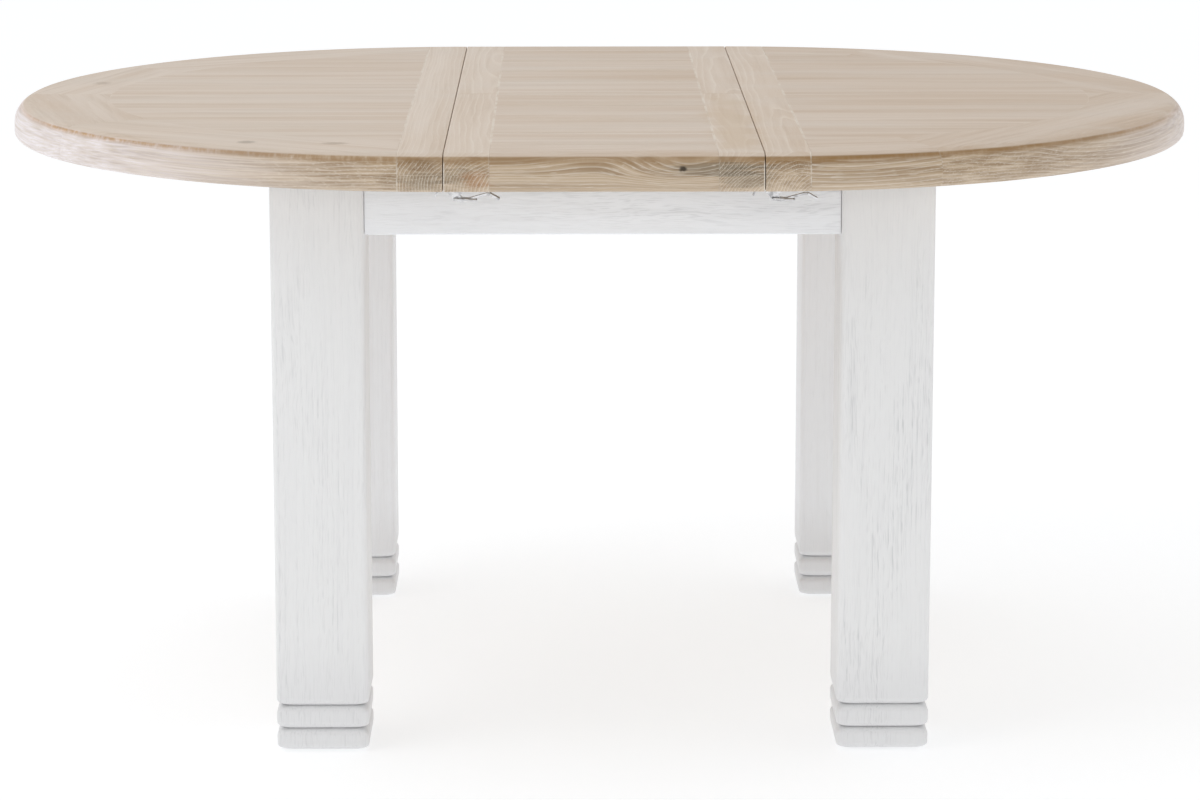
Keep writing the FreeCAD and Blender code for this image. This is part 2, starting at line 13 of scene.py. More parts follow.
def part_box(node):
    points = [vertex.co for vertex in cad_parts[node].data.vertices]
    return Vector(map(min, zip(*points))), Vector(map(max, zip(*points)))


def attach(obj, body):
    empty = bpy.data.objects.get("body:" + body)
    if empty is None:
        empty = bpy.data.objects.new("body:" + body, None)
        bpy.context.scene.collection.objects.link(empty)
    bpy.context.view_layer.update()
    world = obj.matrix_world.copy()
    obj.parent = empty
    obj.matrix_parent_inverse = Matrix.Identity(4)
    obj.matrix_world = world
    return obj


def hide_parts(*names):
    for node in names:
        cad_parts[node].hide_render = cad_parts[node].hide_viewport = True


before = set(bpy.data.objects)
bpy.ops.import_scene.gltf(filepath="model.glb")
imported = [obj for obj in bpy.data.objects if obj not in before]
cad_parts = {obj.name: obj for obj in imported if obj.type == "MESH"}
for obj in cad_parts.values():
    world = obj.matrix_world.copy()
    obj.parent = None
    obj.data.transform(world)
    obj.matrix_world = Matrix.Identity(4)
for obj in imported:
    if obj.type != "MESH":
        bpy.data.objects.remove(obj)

LOG = logging.getLogger("table")
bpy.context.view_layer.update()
MM = 0.001
Point = tuple[float, float]
Place = tuple[float, float, float]
Colour = tuple[float, float, float, float]
Reader = Callable[[Vector], Vector]
Screw = tuple[Vector, Vector]


class Side(Enum):
    """The two half tops, by the sign of their X."""

    LEFT = -1
    RIGHT = 1


class Row(Enum):
    """Front and back pieces, by the sign of their Y."""

    FRONT = -1
    BACK = 1


class Grain(Enum):
    """The axis along which a board's grain runs."""

    X = 0
    Y = 1


class Coat(Enum):
    """Finishes of the visible wood: record slot, name prefix, and the angle above which edges stay crisp."""

    LIMED = ("limed_oak", "oak_", 32.0)
    PAINTED = ("white_oak", "painted_", 40.0)


def srgb(*seen: int) -> Colour:
    """Turn a colour as seen into linear light.

    Args:
        seen: red, green and blue, 0 to 255.

    Returns:
        Linear red, green and blue, and an alpha of 1.
    """
    shares = [value / 255 for value in seen]
    return (*(share / 12.92 if share <= 0.04045 else ((share + 0.055) / 1.055) ** 2.4 for share in shares), 1.0)


# ---- node sheets --------------------------------------------------------------------------
@dataclass(frozen=True)
class Field:
    """One output of a node. Its methods add further nodes to the same sheet."""

    sheet: "NodeSheet"
    socket: bpy.types.NodeSocket

    def math(self, operation: str, *others: object) -> "Field":
        """A Math node on this value and others."""
        return self.sheet.add("ShaderNodeMath", 0, dict(enumerate((self, *others))), operation=operation)

    def __add__(self, other: object) -> "Field":
        """The sum."""
        return self.math("ADD", other)

    def __sub__(self, other: object) -> "Field":
        """The difference."""
        return self.math("SUBTRACT", other)

    def __rsub__(self, other: float) -> "Field":
        """A number less this value."""
        return self.sheet.add("ShaderNodeMath", 0, {0: other, 1: self}, operation="SUBTRACT")

    def __mul__(self, other: object) -> "Field":
        """The product."""
        return self.math("MULTIPLY", other)

    def __abs__(self) -> "Field":
        """The value without its sign."""
        return self.math("ABSOLUTE")

    def clamped(self) -> "Field":
        """The same value, kept between 0 and 1 by the Math node that it comes from."""
        self.socket.node.use_clamp = True
        return self

    def ramp(self, low: float, high: float) -> "Field":
        """A smooth step from 0 at low to 1 at high; low may be the larger."""
        return self.sheet.add("ShaderNodeMapRange", "Result", {"Value": self, "From Min": low, "From Max": high},
                              interpolation_type="SMOOTHSTEP")

    def curve(self, *stops: Point) -> "Field":
        """Read a value off a curve.

        Args:
            stops: places from 0 to 1 and the levels there.

        Returns:
            The level.
        """
        result = self.sheet.add("ShaderNodeValToRGB", "Color", {"Fac": self})
        elements = result.socket.node.color_ramp.elements
        while len(elements) < len(stops):
            elements.new(0.5)
        for element, (place, level) in zip(elements, stops):
            element.position = place
            element.color = (level, level, level, 1.0)
        return result

    def blend(self, first: object, second: object) -> "Field":
        """Mix two colours, with this share of the second."""
        return self.sheet.add("ShaderNodeMix", 2, {0: self, 6: first, 7: second}, data_type="RGBA")

    def glazed(self, *glazes: tuple["Field", object]) -> "Field":
        """Lay glazes over this colour.

        Args:
            glazes: the share and the colour of each.

        Returns:
            The glazed colour.
        """
        colour = self
        for share, glaze in glazes:
            colour = share.blend(colour, glaze)
        return colour

    def bump(self, distance: float, strength: float) -> "Field":
        """A normal bumped by this height, over a depth in metres."""
        return self.sheet.add("ShaderNodeBump", "Normal",
                              {"Strength": strength, "Distance": distance, "Height": self})

    def vector(self, operation: str, *others: object, output: str = "Vector") -> "Field":
        """A Vector Math node on this vector and others."""
        return self.sheet.add("ShaderNodeVectorMath", output, dict(enumerate((self, *others))),
                              operation=operation)

    def axis(self, name: str) -> "Field":
        """One coordinate of a place."""
        return self.sheet.add("ShaderNodeSeparateXYZ", name, {0: self})

    def distance(self, middle: Place, reach: Place) -> "Field":
        """How far a place lies from a middle, in shares of a reach along each axis."""
        away = self.vector("SUBTRACT", middle).vector("MULTIPLY", tuple(1.0 / size for size in reach))
        return away.vector("LENGTH", output="Value")

    def noise(self, scale: Place, detail: float, output: str = "Fac") -> "Field":
        """Noise from 0 to 1.

        Args:
            scale: repeats per metre along each axis.
            detail: octaves.
            output: Fac for a value or Color for a vector.

        Returns:
            The noise at this place.
        """
        return self.sheet.add("ShaderNodeTexNoise", output,
                              {"Vector": self.vector("MULTIPLY", scale), "Scale": 1.0, "Detail": detail})

    def moved(self, way: object, share: object) -> "Field":
        """This place moved by a share of a vector."""
        step = self.sheet.add("ShaderNodeVectorMath", "Vector", {0: way, "Scale": share}, operation="SCALE")
        return self.vector("ADD", step)

    def swayed(self, source: "Field", scale: Place, reach: float) -> "Field":
        """This place moved by noise read at a source place, by up to half a reach each way."""
        return self.moved(source.noise(scale, 1.0, "Color").vector("SUBTRACT", (0.5, 0.5, 0.5)), reach)


@dataclass(frozen=True)
class NodeSheet:
    """A node tree that is being written."""

    tree: bpy.types.NodeTree

    def feed(self, node: bpy.types.Node, inputs: dict[int | str, object]) -> None:
        """Link a node's inputs to fields, or set them to plain values.

        Args:
            node: the node.
            inputs: fields or values for its inputs.
        """
        for key, value in inputs.items():
            if isinstance(value, Field):
                self.tree.links.new(value.socket, node.inputs[key])
            else:
                node.inputs[key].default_value = value

    def add(self, kind: str, output: int | str, inputs: dict[int | str, object] | None = None,
            **settings: object) -> Field:
        """Add a node.

        Args:
            kind: the node's type name.
            output: which of its outputs is wanted.
            inputs: fields or plain values for its inputs.
            settings: its properties.

        Returns:
            The output.
        """
        node = self.tree.nodes.new(kind)
        for name, value in settings.items():
            setattr(node, name, value)
        self.feed(node, inputs or {})
        return Field(self, node.outputs[output])

    def attribute(self, name: str, output: str) -> Field:
        """An attribute of the mesh."""
        return self.add("ShaderNodeAttribute", output, attribute_name=name)

    def place(self) -> Field:
        """Object coordinates."""
        return self.add("ShaderNodeTexCoord", "Object")


@dataclass
class Finish:
    """A material that is being written, by its name."""

    name: str
    material: bpy.types.Material = field(init=False)
    sheet: NodeSheet = field(init=False)

    def __post_init__(self) -> None:
        """Start the material."""
        self.material = bpy.data.materials.new(self.name)
        self.material.use_nodes = True
        self.sheet = NodeSheet(self.material.node_tree)

    def shade(self, colour: object, rough: object, specular: float = 0.5, **more: object) -> bpy.types.Material:
        """Set the shader's sockets.

        Args:
            colour: the base colour.
            rough: the roughness.
            specular: the specular level.
            more: further inputs, with _ for a space in the name.

        Returns:
            The finished material.
        """
        inputs = {"Base Color": colour, "Roughness": rough, "Specular IOR Level": specular}
        inputs.update({name.replace("_", " "): value for name, value in more.items()})
        self.sheet.feed(self.sheet.tree.nodes["Principled BSDF"], inputs)
        return self.material


# ---- finishes -----------------------------------------------------------------------------
def growth_rings(grain: Field, spacing: float, wander: float = 0.026) -> Field:
    """Where a point lies within its growth ring.

    Args:
        grain: grain coordinates, with the log's heart along X.
        spacing: width of a ring, in metres.
        wander: how far the rings stray, in metres.

    Returns:
        A field from 0 to 1.
    """
    moved = grain
    for scale, share in (((1.6, 8.0, 8.0), 1.0), ((7.0, 45.0, 45.0), 0.16)):
        moved = moved.swayed(grain, scale, wander * share)
    radius = moved.vector("MULTIPLY", (0.0, 1.0, 1.0)).vector("LENGTH", output="Value")
    return radius.math("DIVIDE", spacing).math("FRACT")


@dataclass(frozen=True)
class Stain:
    """A patch where the wood is darker or paler.

    Attributes:
        place: its middle, in metres.
        reach: its half sizes along the axes.
        colour: what it tends to.
        depth: how strongly, 0 to 1.
        ragged: how broken its border is.
    """

    place: Place
    reach: Place
    colour: Colour
    depth: float
    ragged: float = 0.9

    def lay(self, place: Field, broken: Field, wood: Field) -> Field:
        """Lay the stain over a colour, with its border broken up by noise."""
        far = (broken - 0.5) * (self.ragged * 2) + place.distance(self.place, self.reach)
        return (far.ramp(1.15, 0.35) * self.depth).blend(wood, self.colour)


class LimedOak(Finish):
    """Oak with lime wax rubbed into its grain: pale and even on top, stronger round the edge."""

    def __init__(self, sizes: "Sizes") -> None:
        """Start the material and read the fields that its colours share.

        Args:
            sizes: the table's sizes.
        """
        super().__init__("limed_oak")
        self.sizes = s = sizes
        sheet = self.sheet
        self.place = place = sheet.place()
        self.across, self.height = place.axis("X"), place.axis("Z")
        self.below = s.top - self.height
        self.side = abs(self.across)
        self.tone, self.lime = sheet.attribute("tone", "Fac"), sheet.attribute("lime", "Fac")
        grain = sheet.attribute("grain", "Vector")
        upper_layer = self.height.ramp(s.under_board - 0.1 * MM, s.under_board + 0.1 * MM)
        grain = grain.moved((0.9, 0.017, 0.011), upper_layer)
        for middle, reach, rise in self.swirls():
            grain = grain.moved((0.0, 0.0, rise), place.distance(middle, reach).ramp(1.0, 0.0))
        ring = growth_rings(grain, 4.0 * MM)
        self.grain = grain
        self.late = ring.ramp(0.42, 0.98)
        self.rubbed = grain.noise((7.0, 55.0, 55.0), 3.0)
        line = ring.curve((0.0, 0.0), (0.07, 1.0), (0.20, 0.60), (0.36, 0.05), (1.0, 0.0))
        self.line = line * (self.rubbed * 1.5 + 0.10).clamped()
        self.pores = grain.noise((45.0, 620.0, 620.0), 1.0).ramp(0.54, 0.68)
        self.streaks = grain.noise((5.0, 130.0, 130.0), 3.0)
        self.fibre = grain.noise((4.0, 110.0, 400.0), 1.0)

    def along(self, *stops: Point) -> Field:
        """A level that changes along the table; the stops run from one end, 0, to the other, 1."""
        return (self.across * (0.5 / self.sizes.half_length) + 0.5).curve(*stops)

    def swirls(self) -> list[tuple[Place, Place, float]]:
        """Say where the grain swells round a knot.

        Returns:
            The middle, reach and rise of each swell.
        """
        s = self.sizes
        return [
            ((s.seam - 0.094, -s.radius, s.top - 0.018), (0.110, 0.20, 0.032), 0.021),
            ((-s.seam + 0.180, -s.radius, s.top - 0.006), (0.100, 0.20, 0.026), -0.008),
        ]

    def stains(self) -> list[Stain]:
        """List the stains that lie under the lime.

        Returns:
            The dark patches of the front edge, and one of the top.
        """
        s = self.sizes
        front, low, high = -s.radius, s.under_edge, s.top
        brown, smoke, rust = srgb(118, 92, 60), srgb(96, 88, 72), srgb(168, 116, 68)
        return [
            Stain((-s.seam - 0.026, front, high - 0.013), (0.036, 0.03, 0.012), brown, 0.55, 0.8),
            Stain((-s.seam - 0.062, front, high - 0.032), (0.022, 0.03, 0.014), brown, 0.35, 0.8),
            Stain((-s.seam - 0.022, front, low + 0.012), (0.036, 0.03, 0.012), smoke, 0.42),
            Stain((-s.seam + 0.024, front, low + 0.020), (0.030, 0.03, 0.018), smoke, 0.30),
            Stain((-s.seam + 0.040, front, low + 0.014), (0.020, 0.03, 0.014), rust, 0.50),
            Stain((s.seam - 0.060, front, high - 0.019), (0.066, 0.03, 0.0095), smoke, 0.55, 1.1),
            Stain((s.seam - 0.026, front, high - 0.026), (0.032, 0.03, 0.017), smoke, 0.40, 1.1),
            Stain((s.seam + 0.040, front, high - 0.014), (0.034, 0.03, 0.007), brown, 0.35),
            Stain((s.seam - 0.026, -0.33, high), (0.040, 0.30, 0.006), srgb(194, 168, 134), 0.45),
        ]

    def knots(self) -> list[Stain]:
        """List the stains that lie over the lime.

        Returns:
            The small knots.
        """
        s = self.sizes
        return [
            Stain((s.seam - 0.099, -s.radius, s.top - 0.0175), (0.0060, 0.03, 0.0040), srgb(54, 44, 32), 0.95, 0.45),
            Stain((-0.436, -0.475, s.top), (0.013, 0.015, 0.004), srgb(136, 120, 102), 0.55, 0.4),
            Stain((-0.328, -0.488, s.top), (0.019, 0.013, 0.004), srgb(148, 124, 98), 0.50, 0.4),
            Stain((-0.684, 0.120, s.top), (0.013, 0.020, 0.004), srgb(150, 130, 108), 0.38, 0.6),
        ]

    def flat_colour(self) -> Field:
        """Colour the flat top.

        Returns:
            Its colour.
        """
        s = self.sizes
        bands = self.grain.noise((1.1, 24.0, 24.0), 2.0)
        clouds = self.place.noise((3.6, 11.0, 4.0), 4.0)
        inside, outside = s.leaf_band, s.band_out
        cross = self.side.ramp(inside, inside + 0.1 * MM) * self.side.ramp(outside, outside - 0.1 * MM)
        opened = self.rubbed.ramp(0.45, 0.75) * 0.11 + 0.03 + cross * 0.30
        warmth = self.tone * 0.13 + bands.ramp(0.30, 0.72) + self.across.ramp(-0.35, 0.45) * 0.42
        return (warmth * 0.72).clamped().blend(srgb(213, 198, 183), srgb(196, 173, 149)).glazed(
            (self.streaks.ramp(0.48, 0.76) * 0.34, srgb(181, 160, 138)),
            (self.late * 0.08, srgb(172, 148, 122)),
            (clouds.ramp(0.42, 0.72) * 0.40, srgb(206, 194, 181)),
            (self.line * opened, srgb(230, 220, 207)),
            (cross * 0.22, srgb(226, 212, 196)),
            (self.pores * 0.16, srgb(222, 213, 202)),
        )

    def edge_colour(self) -> Field:
        """Colour the bare moulded edge.

        Returns:
            Its colour.
        """
        strands = self.grain.noise((3.0, 45.0, 160.0), 3.0).ramp(0.36, 0.66)
        # Painted light: the edge is painted paler towards its underside, where it is more brightly lit.
        foot = self.height.ramp(self.sizes.under_edge + 20 * MM, self.sizes.under_edge + 8 * MM)
        return strands.blend(srgb(196, 175, 149), srgb(162, 138, 110)).glazed(
            (self.late * 0.30, srgb(152, 127, 96)),
            (self.fibre.ramp(0.50, 0.72) * 0.24, srgb(226, 212, 194)),
            (foot * 0.14, srgb(212, 198, 184)),
        )

    def whitened(self) -> Field:
        """Brush the edge white, most at the table's two ends.

        Returns:
            How white it is.
        """
        white = self.along((0.0, 1.0), (0.10, 0.80), (0.20, 0.36), (0.28, 0.08), (0.34, 0.0),
                           (0.80, 0.0), (0.90, 0.12), (0.97, 0.50), (1.0, 0.66))
        return (white * (self.fibre * 1.1 + (self.rubbed * 0.9 - 0.08))).clamped()

    def worn(self) -> Field:
        """Wear the shoulder at the top of the edge.

        Returns:
            How bare it is.
        """
        level = self.along((0.0, 0.30), (0.06, 1.0), (0.20, 0.70), (0.33, 0.70), (0.37, 0.58), (0.50, 0.48),
                           (0.60, 0.54), (0.66, 0.92), (0.80, 0.95), (0.93, 0.80), (1.0, 0.30))
        deep = self.along((0.0, 0.10), (0.16, 0.15), (0.26, 0.40), (0.36, 0.85), (0.62, 0.85),
                          (0.70, 0.35), (1.0, 0.15))
        depth = deep * (self.rubbed * (10 * MM) + 3 * MM) + 5 * MM
        lower = (self.below - depth).ramp(5.0 * MM, -1.5 * MM)
        tiger = (self.place.noise((230.0, 60.0, 80.0), 2.0) * 2.6 - 0.45).clamped()
        patchy = (self.place.noise((22.0, 22.0, 200.0), 3.0) * 1.2 + 0.30).clamped()
        toothed = self.along((0.0, 0.3), (0.1, 0.8), (0.35, 0.85), (0.37, 0.2), (1.0, 0.35))
        return level * toothed.blend(patchy, tiger) * (self.below.ramp(3.2 * MM, 5.0 * MM) * lower)

    def waxed(self, edge: Field) -> Field:
        """How full of lime wax the joints are.

        Args:
            edge: 0 on top and 1 on the edge.

        Returns:
            The share of wax.
        """
        s = self.sizes
        glue = abs(self.height - s.under_board).ramp(0.9 * MM, 0.3 * MM) * self.rubbed.ramp(0.42, 0.60)
        gaps = self.place.noise((26.0, 26.0, 60.0), 2.0).ramp(0.38, 0.62) * 0.50 + 0.10
        seam = abs(self.side - (s.seam - 1.6 * MM)).ramp(1.3 * MM, 0.5 * MM) * edge
        return ((self.lime * 0.85).math("MAXIMUM", glue * 0.5) * gaps).math("MAXIMUM", seam * 0.65)

    def build(self) -> bpy.types.Material:
        """Make the material.

        Returns:
            The material, which reads the pieces' grain, tone and lime attributes.
        """
        white = self.whitened()
        edge = self.below.ramp(6.0 * MM, 14.0 * MM)
        wood = self.flat_colour().glazed(
            (self.below.ramp(2.8 * MM, 5.0 * MM), white.blend(self.edge_colour(), srgb(240, 233, 235))),
            (self.worn(), white.blend(srgb(144, 109, 62), srgb(198, 156, 106))),
        )
        smear = self.place.noise((16.0, 16.0, 380.0), 3.0)
        speck = self.place.noise((210.0, 210.0, 210.0), 2.0)
        for stain in self.stains():
            wood = stain.lay(self.place, smear, wood)
        wood = wood.glazed(((self.line * 0.66 + self.pores * 0.30).clamped() * edge, srgb(220, 209, 194)))
        for knot in self.knots():
            wood = knot.lay(self.place, speck, wood)
        wood = wood.glazed((self.waxed(edge), srgb(230, 222, 210)))
        relief = self.line * -0.5 + self.pores * -0.7 + self.streaks * 0.35
        return self.shade(wood, self.streaks * 0.16 + 0.42, 0.34, Normal=relief.bump(0.3 * MM, 0.5))


class WhiteOak(Finish):
    """Oak under matt white paint, brushed so that the pores show as faint grey dashes."""

    def build(self) -> bpy.types.Material:
        """Make the material.

        Returns:
            The material, which reads the pieces' grain and tone attributes.
        """
        sheet = self.sheet
        grain, tone = sheet.attribute("grain", "Vector"), sheet.attribute("tone", "Fac")
        swayed = grain.swayed(grain, (9.0, 20.0, 20.0), 13 * MM)
        line = growth_rings(grain, 6.0 * MM).curve((0.0, 0.1), (0.10, 1.0), (0.28, 0.4), (0.50, 0.0), (1.0, 0.0))
        pores = swayed.noise((40.0, 680.0, 680.0), 1.0).ramp(0.50, 0.66)
        opened = grain.noise((3.6, 22.0, 22.0), 2.0).ramp(0.42, 0.66) * (tone * 1.10 + 0.42).clamped()
        marks = (line * 0.60 + 0.40) * pores * (opened * 0.30 + 0.05)
        line = line * swayed.noise((12.0, 90.0, 90.0), 1.0).ramp(0.25, 0.65)
        streaks = grain.noise((5.0, 130.0, 130.0), 3.0)
        # Painted shade: the paint is greyed towards the floor, where the feet fall in shade.
        painted_foot_shade = sheet.place().axis("Z").ramp(0.16, 0.06) * 0.80
        # Painted light: pieces whose tone lies far from 0, the aprons and the back legs, get lighter, cooler paint
        # against the shade under the top.
        paint = (abs(tone).ramp(0.35, 1.0) * 0.9).blend(srgb(237, 237, 237), srgb(246, 248, 251)).glazed(
            (streaks.ramp(0.42, 0.72) * 0.24, srgb(229, 229, 230)),
            (line * (opened * 0.30 + 0.04), srgb(196, 197, 200)),
            (marks, srgb(142, 143, 147)),
            (painted_foot_shade, marks.blend(srgb(228, 228, 229), srgb(150, 150, 152))),
        )
        relief = line * -0.5 + pores * -0.5 + streaks * 0.6
        return self.shade(paint, 0.60, 0.30, Normal=relief.bump(0.4 * MM, 0.5))


@dataclass
class WaxedBeech(Finish):
    """Plain waxed hardwood of the slides, with its grain along one axis."""

    along: Grain

    def build(self) -> bpy.types.Material:
        """Make the material.

        Returns:
            The material, on Object coordinates.
        """
        place = self.sheet.place()
        fine, broad = [260.0] * 3, [34.0] * 3
        fine[self.along.value], broad[self.along.value] = 9.0, 1.5
        flecks = place.noise(fine, 2.0).ramp(0.42, 0.70)
        wood = place.noise(broad, 3.0).ramp(0.30, 0.72).blend(srgb(214, 178, 134), srgb(188, 146, 102))
        wood = wood.glazed((flecks * 0.38, srgb(156, 112, 72)))
        return self.shade(wood, 0.48, Normal=flecks.bump(0.2 * MM, 0.4))


@dataclass
class Metal(Finish):
    """A plated or cast metal with faint brushing and tarnish: its colours where clean and dull, and how rough."""

    clean: Colour
    dull: Colour
    rough: float

    def build(self) -> bpy.types.Material:
        """Make the material.

        Returns:
            The material, on Object coordinates.
        """
        place = self.sheet.place()
        brushed = place.noise((900.0, 90.0, 900.0), 2.0)
        tarnish = place.noise((130.0, 130.0, 130.0), 4.0).ramp(0.40, 0.68)
        return self.shade(tarnish.blend(self.clean, self.dull), tarnish * 0.18 + self.rough + brushed * 0.10,
                          Metallic=1.0, Normal=brushed.bump(0.03 * MM, 0.35))


class Nylon(Finish):
    """Moulded nylon with a fine stipple and scuffs."""

    def build(self) -> bpy.types.Material:
        """Make the material.

        Returns:
            The material, on Object coordinates.
        """
        place = self.sheet.place()
        scuffs = place.noise((60.0, 60.0, 60.0), 4.0).ramp(0.50, 0.70) * 0.5
        stipple = place.noise((1400.0, 1400.0, 1400.0), 1.0)
        return self.shade(scuffs.blend(srgb(94, 92, 90), srgb(140, 137, 132)), 0.58,
                          Normal=stipple.bump(0.05 * MM, 0.4))


@dataclass(frozen=True)
class Finishes:
    """Every material of the table, made once."""

    limed_oak: bpy.types.Material
    white_oak: bpy.types.Material
    beech_x: bpy.types.Material
    beech_y: bpy.types.Material
    steel: bpy.types.Material
    brass: bpy.types.Material
    nylon: bpy.types.Material

    @classmethod
    def make(cls, sizes: "Sizes") -> "Finishes":
        """Make all the materials.

        Args:
            sizes: the table's sizes.

        Returns:
            The finishes.
        """
        return cls(
            limed_oak=LimedOak(sizes).build(),
            white_oak=WhiteOak("white_oak").build(),
            beech_x=WaxedBeech("beech_x", Grain.X).build(),
            beech_y=WaxedBeech("beech_y", Grain.Y).build(),
            steel=Metal("zinc_steel", srgb(206, 206, 207), srgb(176, 176, 178), 0.26).build(),
            brass=Metal("satin_brass", srgb(206, 170, 104), srgb(182, 146, 86), 0.32).build(),
            nylon=Nylon("nylon").build(),
        )

    def dress_cad_nodes(self) -> None:
        """Give each CAD node that stays in view its finish."""
        kinds = {"rail_": self.beech_x, "runner_left": self.beech_x, "runner_right": self.beech_x,
                 "bearer_": self.beech_y, "hinge_": self.brass, "leaf_pads": self.nylon, "floor_glides": self.nylon}
        for name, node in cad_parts.items():
            material = next((kinds[start] for start in kinds if name.startswith(start)), self.steel)
            for slot in node.material_slots:
                slot.material = material
            LOG.info("%s finished in %s", name, material.name)


# ---- sizes --------------------------------------------------------------------------------
@dataclass(frozen=True)
class Sizes:
    """Sizes of the table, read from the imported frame, in metres."""

    top: float
    under_board: float
    under_edge: float
    radius: float
    centre: float
    seam: float
    band_out: float
    lip: float
    rim: float
    leaf_side: float
    leaf_band: float
    fold: float
    half_length: float

    @classmethod
    def read(cls) -> "Sizes":
        """Work the sizes out from the boxes of the CAD nodes.

        Returns:
            The sizes.
        """
        panel_low, panel_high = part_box("panel_right")
        rim_low, rim_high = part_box("rim_2_right")
        lip_low, lip_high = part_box("leaf_lip_front")
        side_low, side_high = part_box("leaf_right_front")
        return cls(
            top=panel_high.z,
            under_board=panel_low.z,
            under_edge=rim_low.z,
            radius=-lip_low.y,
            centre=rim_high.x + lip_low.y,
            seam=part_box("band_right")[0].x,
            band_out=panel_low.x,
            lip=lip_high.y - lip_low.y,
            rim=rim_high.x - panel_high.x,
            leaf_side=side_high.x,
            leaf_band=side_low.x,
            fold=-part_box("leaf_panel_front")[1].y,
            half_length=rim_high.x,
        )


# ---- shells -------------------------------------------------------------------------------
def inset(loop: Sequence[Point], depth: float) -> list[Point]:
    """Move a closed outline inwards.

    Args:
        loop: points in order, with the solid on their left.
        depth: how far.

    Returns:
        The moved outline.
    """
    moved = []
    for index, (x, y) in enumerate(loop):
        before, after = loop[index - 1], loop[(index + 1) % len(loop)]
        first = Vector((x - before[0], y - before[1])).normalized()
        second = Vector((after[0] - x, after[1] - y)).normalized()
        total = Vector((-first.y - second.y, first.x + second.x))
        share = depth * 2 / max(total.length_squared, 0.5)
        moved.append((x + total.x * share, y + total.y * share))
    return moved


def arc(centre: Point, radii: Point, start: float, end: float, steps: int) -> list[Point]:
    """Points along an elliptical arc, both ends included.

    Args:
        centre: its centre.
        radii: its radii along the two axes.
        start: first angle, in degrees.
        end: last angle, in degrees.
        steps: how many divisions.

    Returns:
        The points.
    """
    turns = [math.radians(start + (end - start) * step / steps) for step in range(steps + 1)]
    return [(centre[0] + radii[0] * math.cos(turn), centre[1] + radii[1] * math.sin(turn)) for turn in turns]


def rounded(half: Point, soft: float, steps: int) -> list[Point]:
    """A rectangle with rounded corners, round the origin.

    Args:
        half: its half sizes along the two axes.
        soft: the radius of its corners.
        steps: divisions of each corner.

    Returns:
        Its outline, with the solid on the left.
    """
    outline = []
    for corner, (x, y) in enumerate(((1, 1), (-1, 1), (-1, -1), (1, -1))):
        centre = (x * (half[0] - soft), y * (half[1] - soft))
        outline += arc(centre, (soft, soft), 90.0 * corner, 90.0 * corner + 90, steps)
    return outline


@dataclass
class Shell:
    """One piece's mesh while it is built, with its grain, tone and lime on every vertex."""

    points: list[Vector] = field(default_factory=list)
    faces: list[list[int]] = field(default_factory=list)
    grain: list[Vector] = field(default_factory=list)
    tone: list[float] = field(default_factory=list)
    lime: list[float] = field(default_factory=list)

    def loft(self, loops: Sequence[Sequence[Vector]], read: Reader, tone: float = 0.0,
             limes: Sequence[float] = (), corners: dict[int, float] | None = None) -> "Shell":
        """Add a closed skin through a row of closed outlines.

        Args:
            loops: outlines with the same number of points, in order.
            read: turns a point into its grain coordinates.
            tone: the board's tone.
            limes: how much lime line each outline shows, 0 to 1.
            corners: how much lime line a point shows on every outline.

        Returns:
            The shell.
        """
        start, size = len(self.points), len(loops[0])
        for loop, lime in zip(loops, limes or [0.0] * len(loops)):
            self.points += loop
            self.grain += [read(point) for point in loop]
            self.tone += [tone] * size
            self.lime += [(corners or {}).get(index, lime) for index in range(size)]
        last = start + (len(loops) - 1) * size
        for low in range(start, last, size):
            for index in range(size):
                following = (index + 1) % size
                self.faces.append([low + index, low + following, low + size + following, low + size + index])
        self.faces.append([start + index for index in reversed(range(size))])
        self.faces.append([last + index for index in range(size)])
        return self

    def finish(self, name: str, material: bpy.types.Material, angle: float) -> bpy.types.Object:
        """Turn the shell into an object at the origin.

        Args:
            name: the object's name.
            material: its material.
            angle: edges sharper than this many degrees stay crisp.

        Returns:
            The object.
        """
        mesh = bpy.data.meshes.new(name)
        mesh.from_pydata(self.points, [], self.faces)
        mesh.validate()
        mesh.calc_loop_triangles()
        corners = [[mesh.vertices[index].co for index in side.vertices] for side in mesh.loop_triangles]
        if sum(a.dot(b.cross(c)) for a, b, c in corners) < 0:
            mesh.flip_normals()
        for label, values in (("tone", self.tone), ("lime", self.lime)):
            mesh.attributes.new(label, "FLOAT", "POINT").data.foreach_set("value", values)
        layer = mesh.attributes.new("grain", "FLOAT_VECTOR", "POINT")
        layer.data.foreach_set("vector", [number for place in self.grain for number in place])
        mesh.shade_smooth()
        mesh.set_sharp_from_angle(angle=math.radians(angle))
        mesh.materials.append(material)
        piece = bpy.data.objects.new(name, mesh)
        bpy.context.scene.collection.objects.link(piece)
        return piece


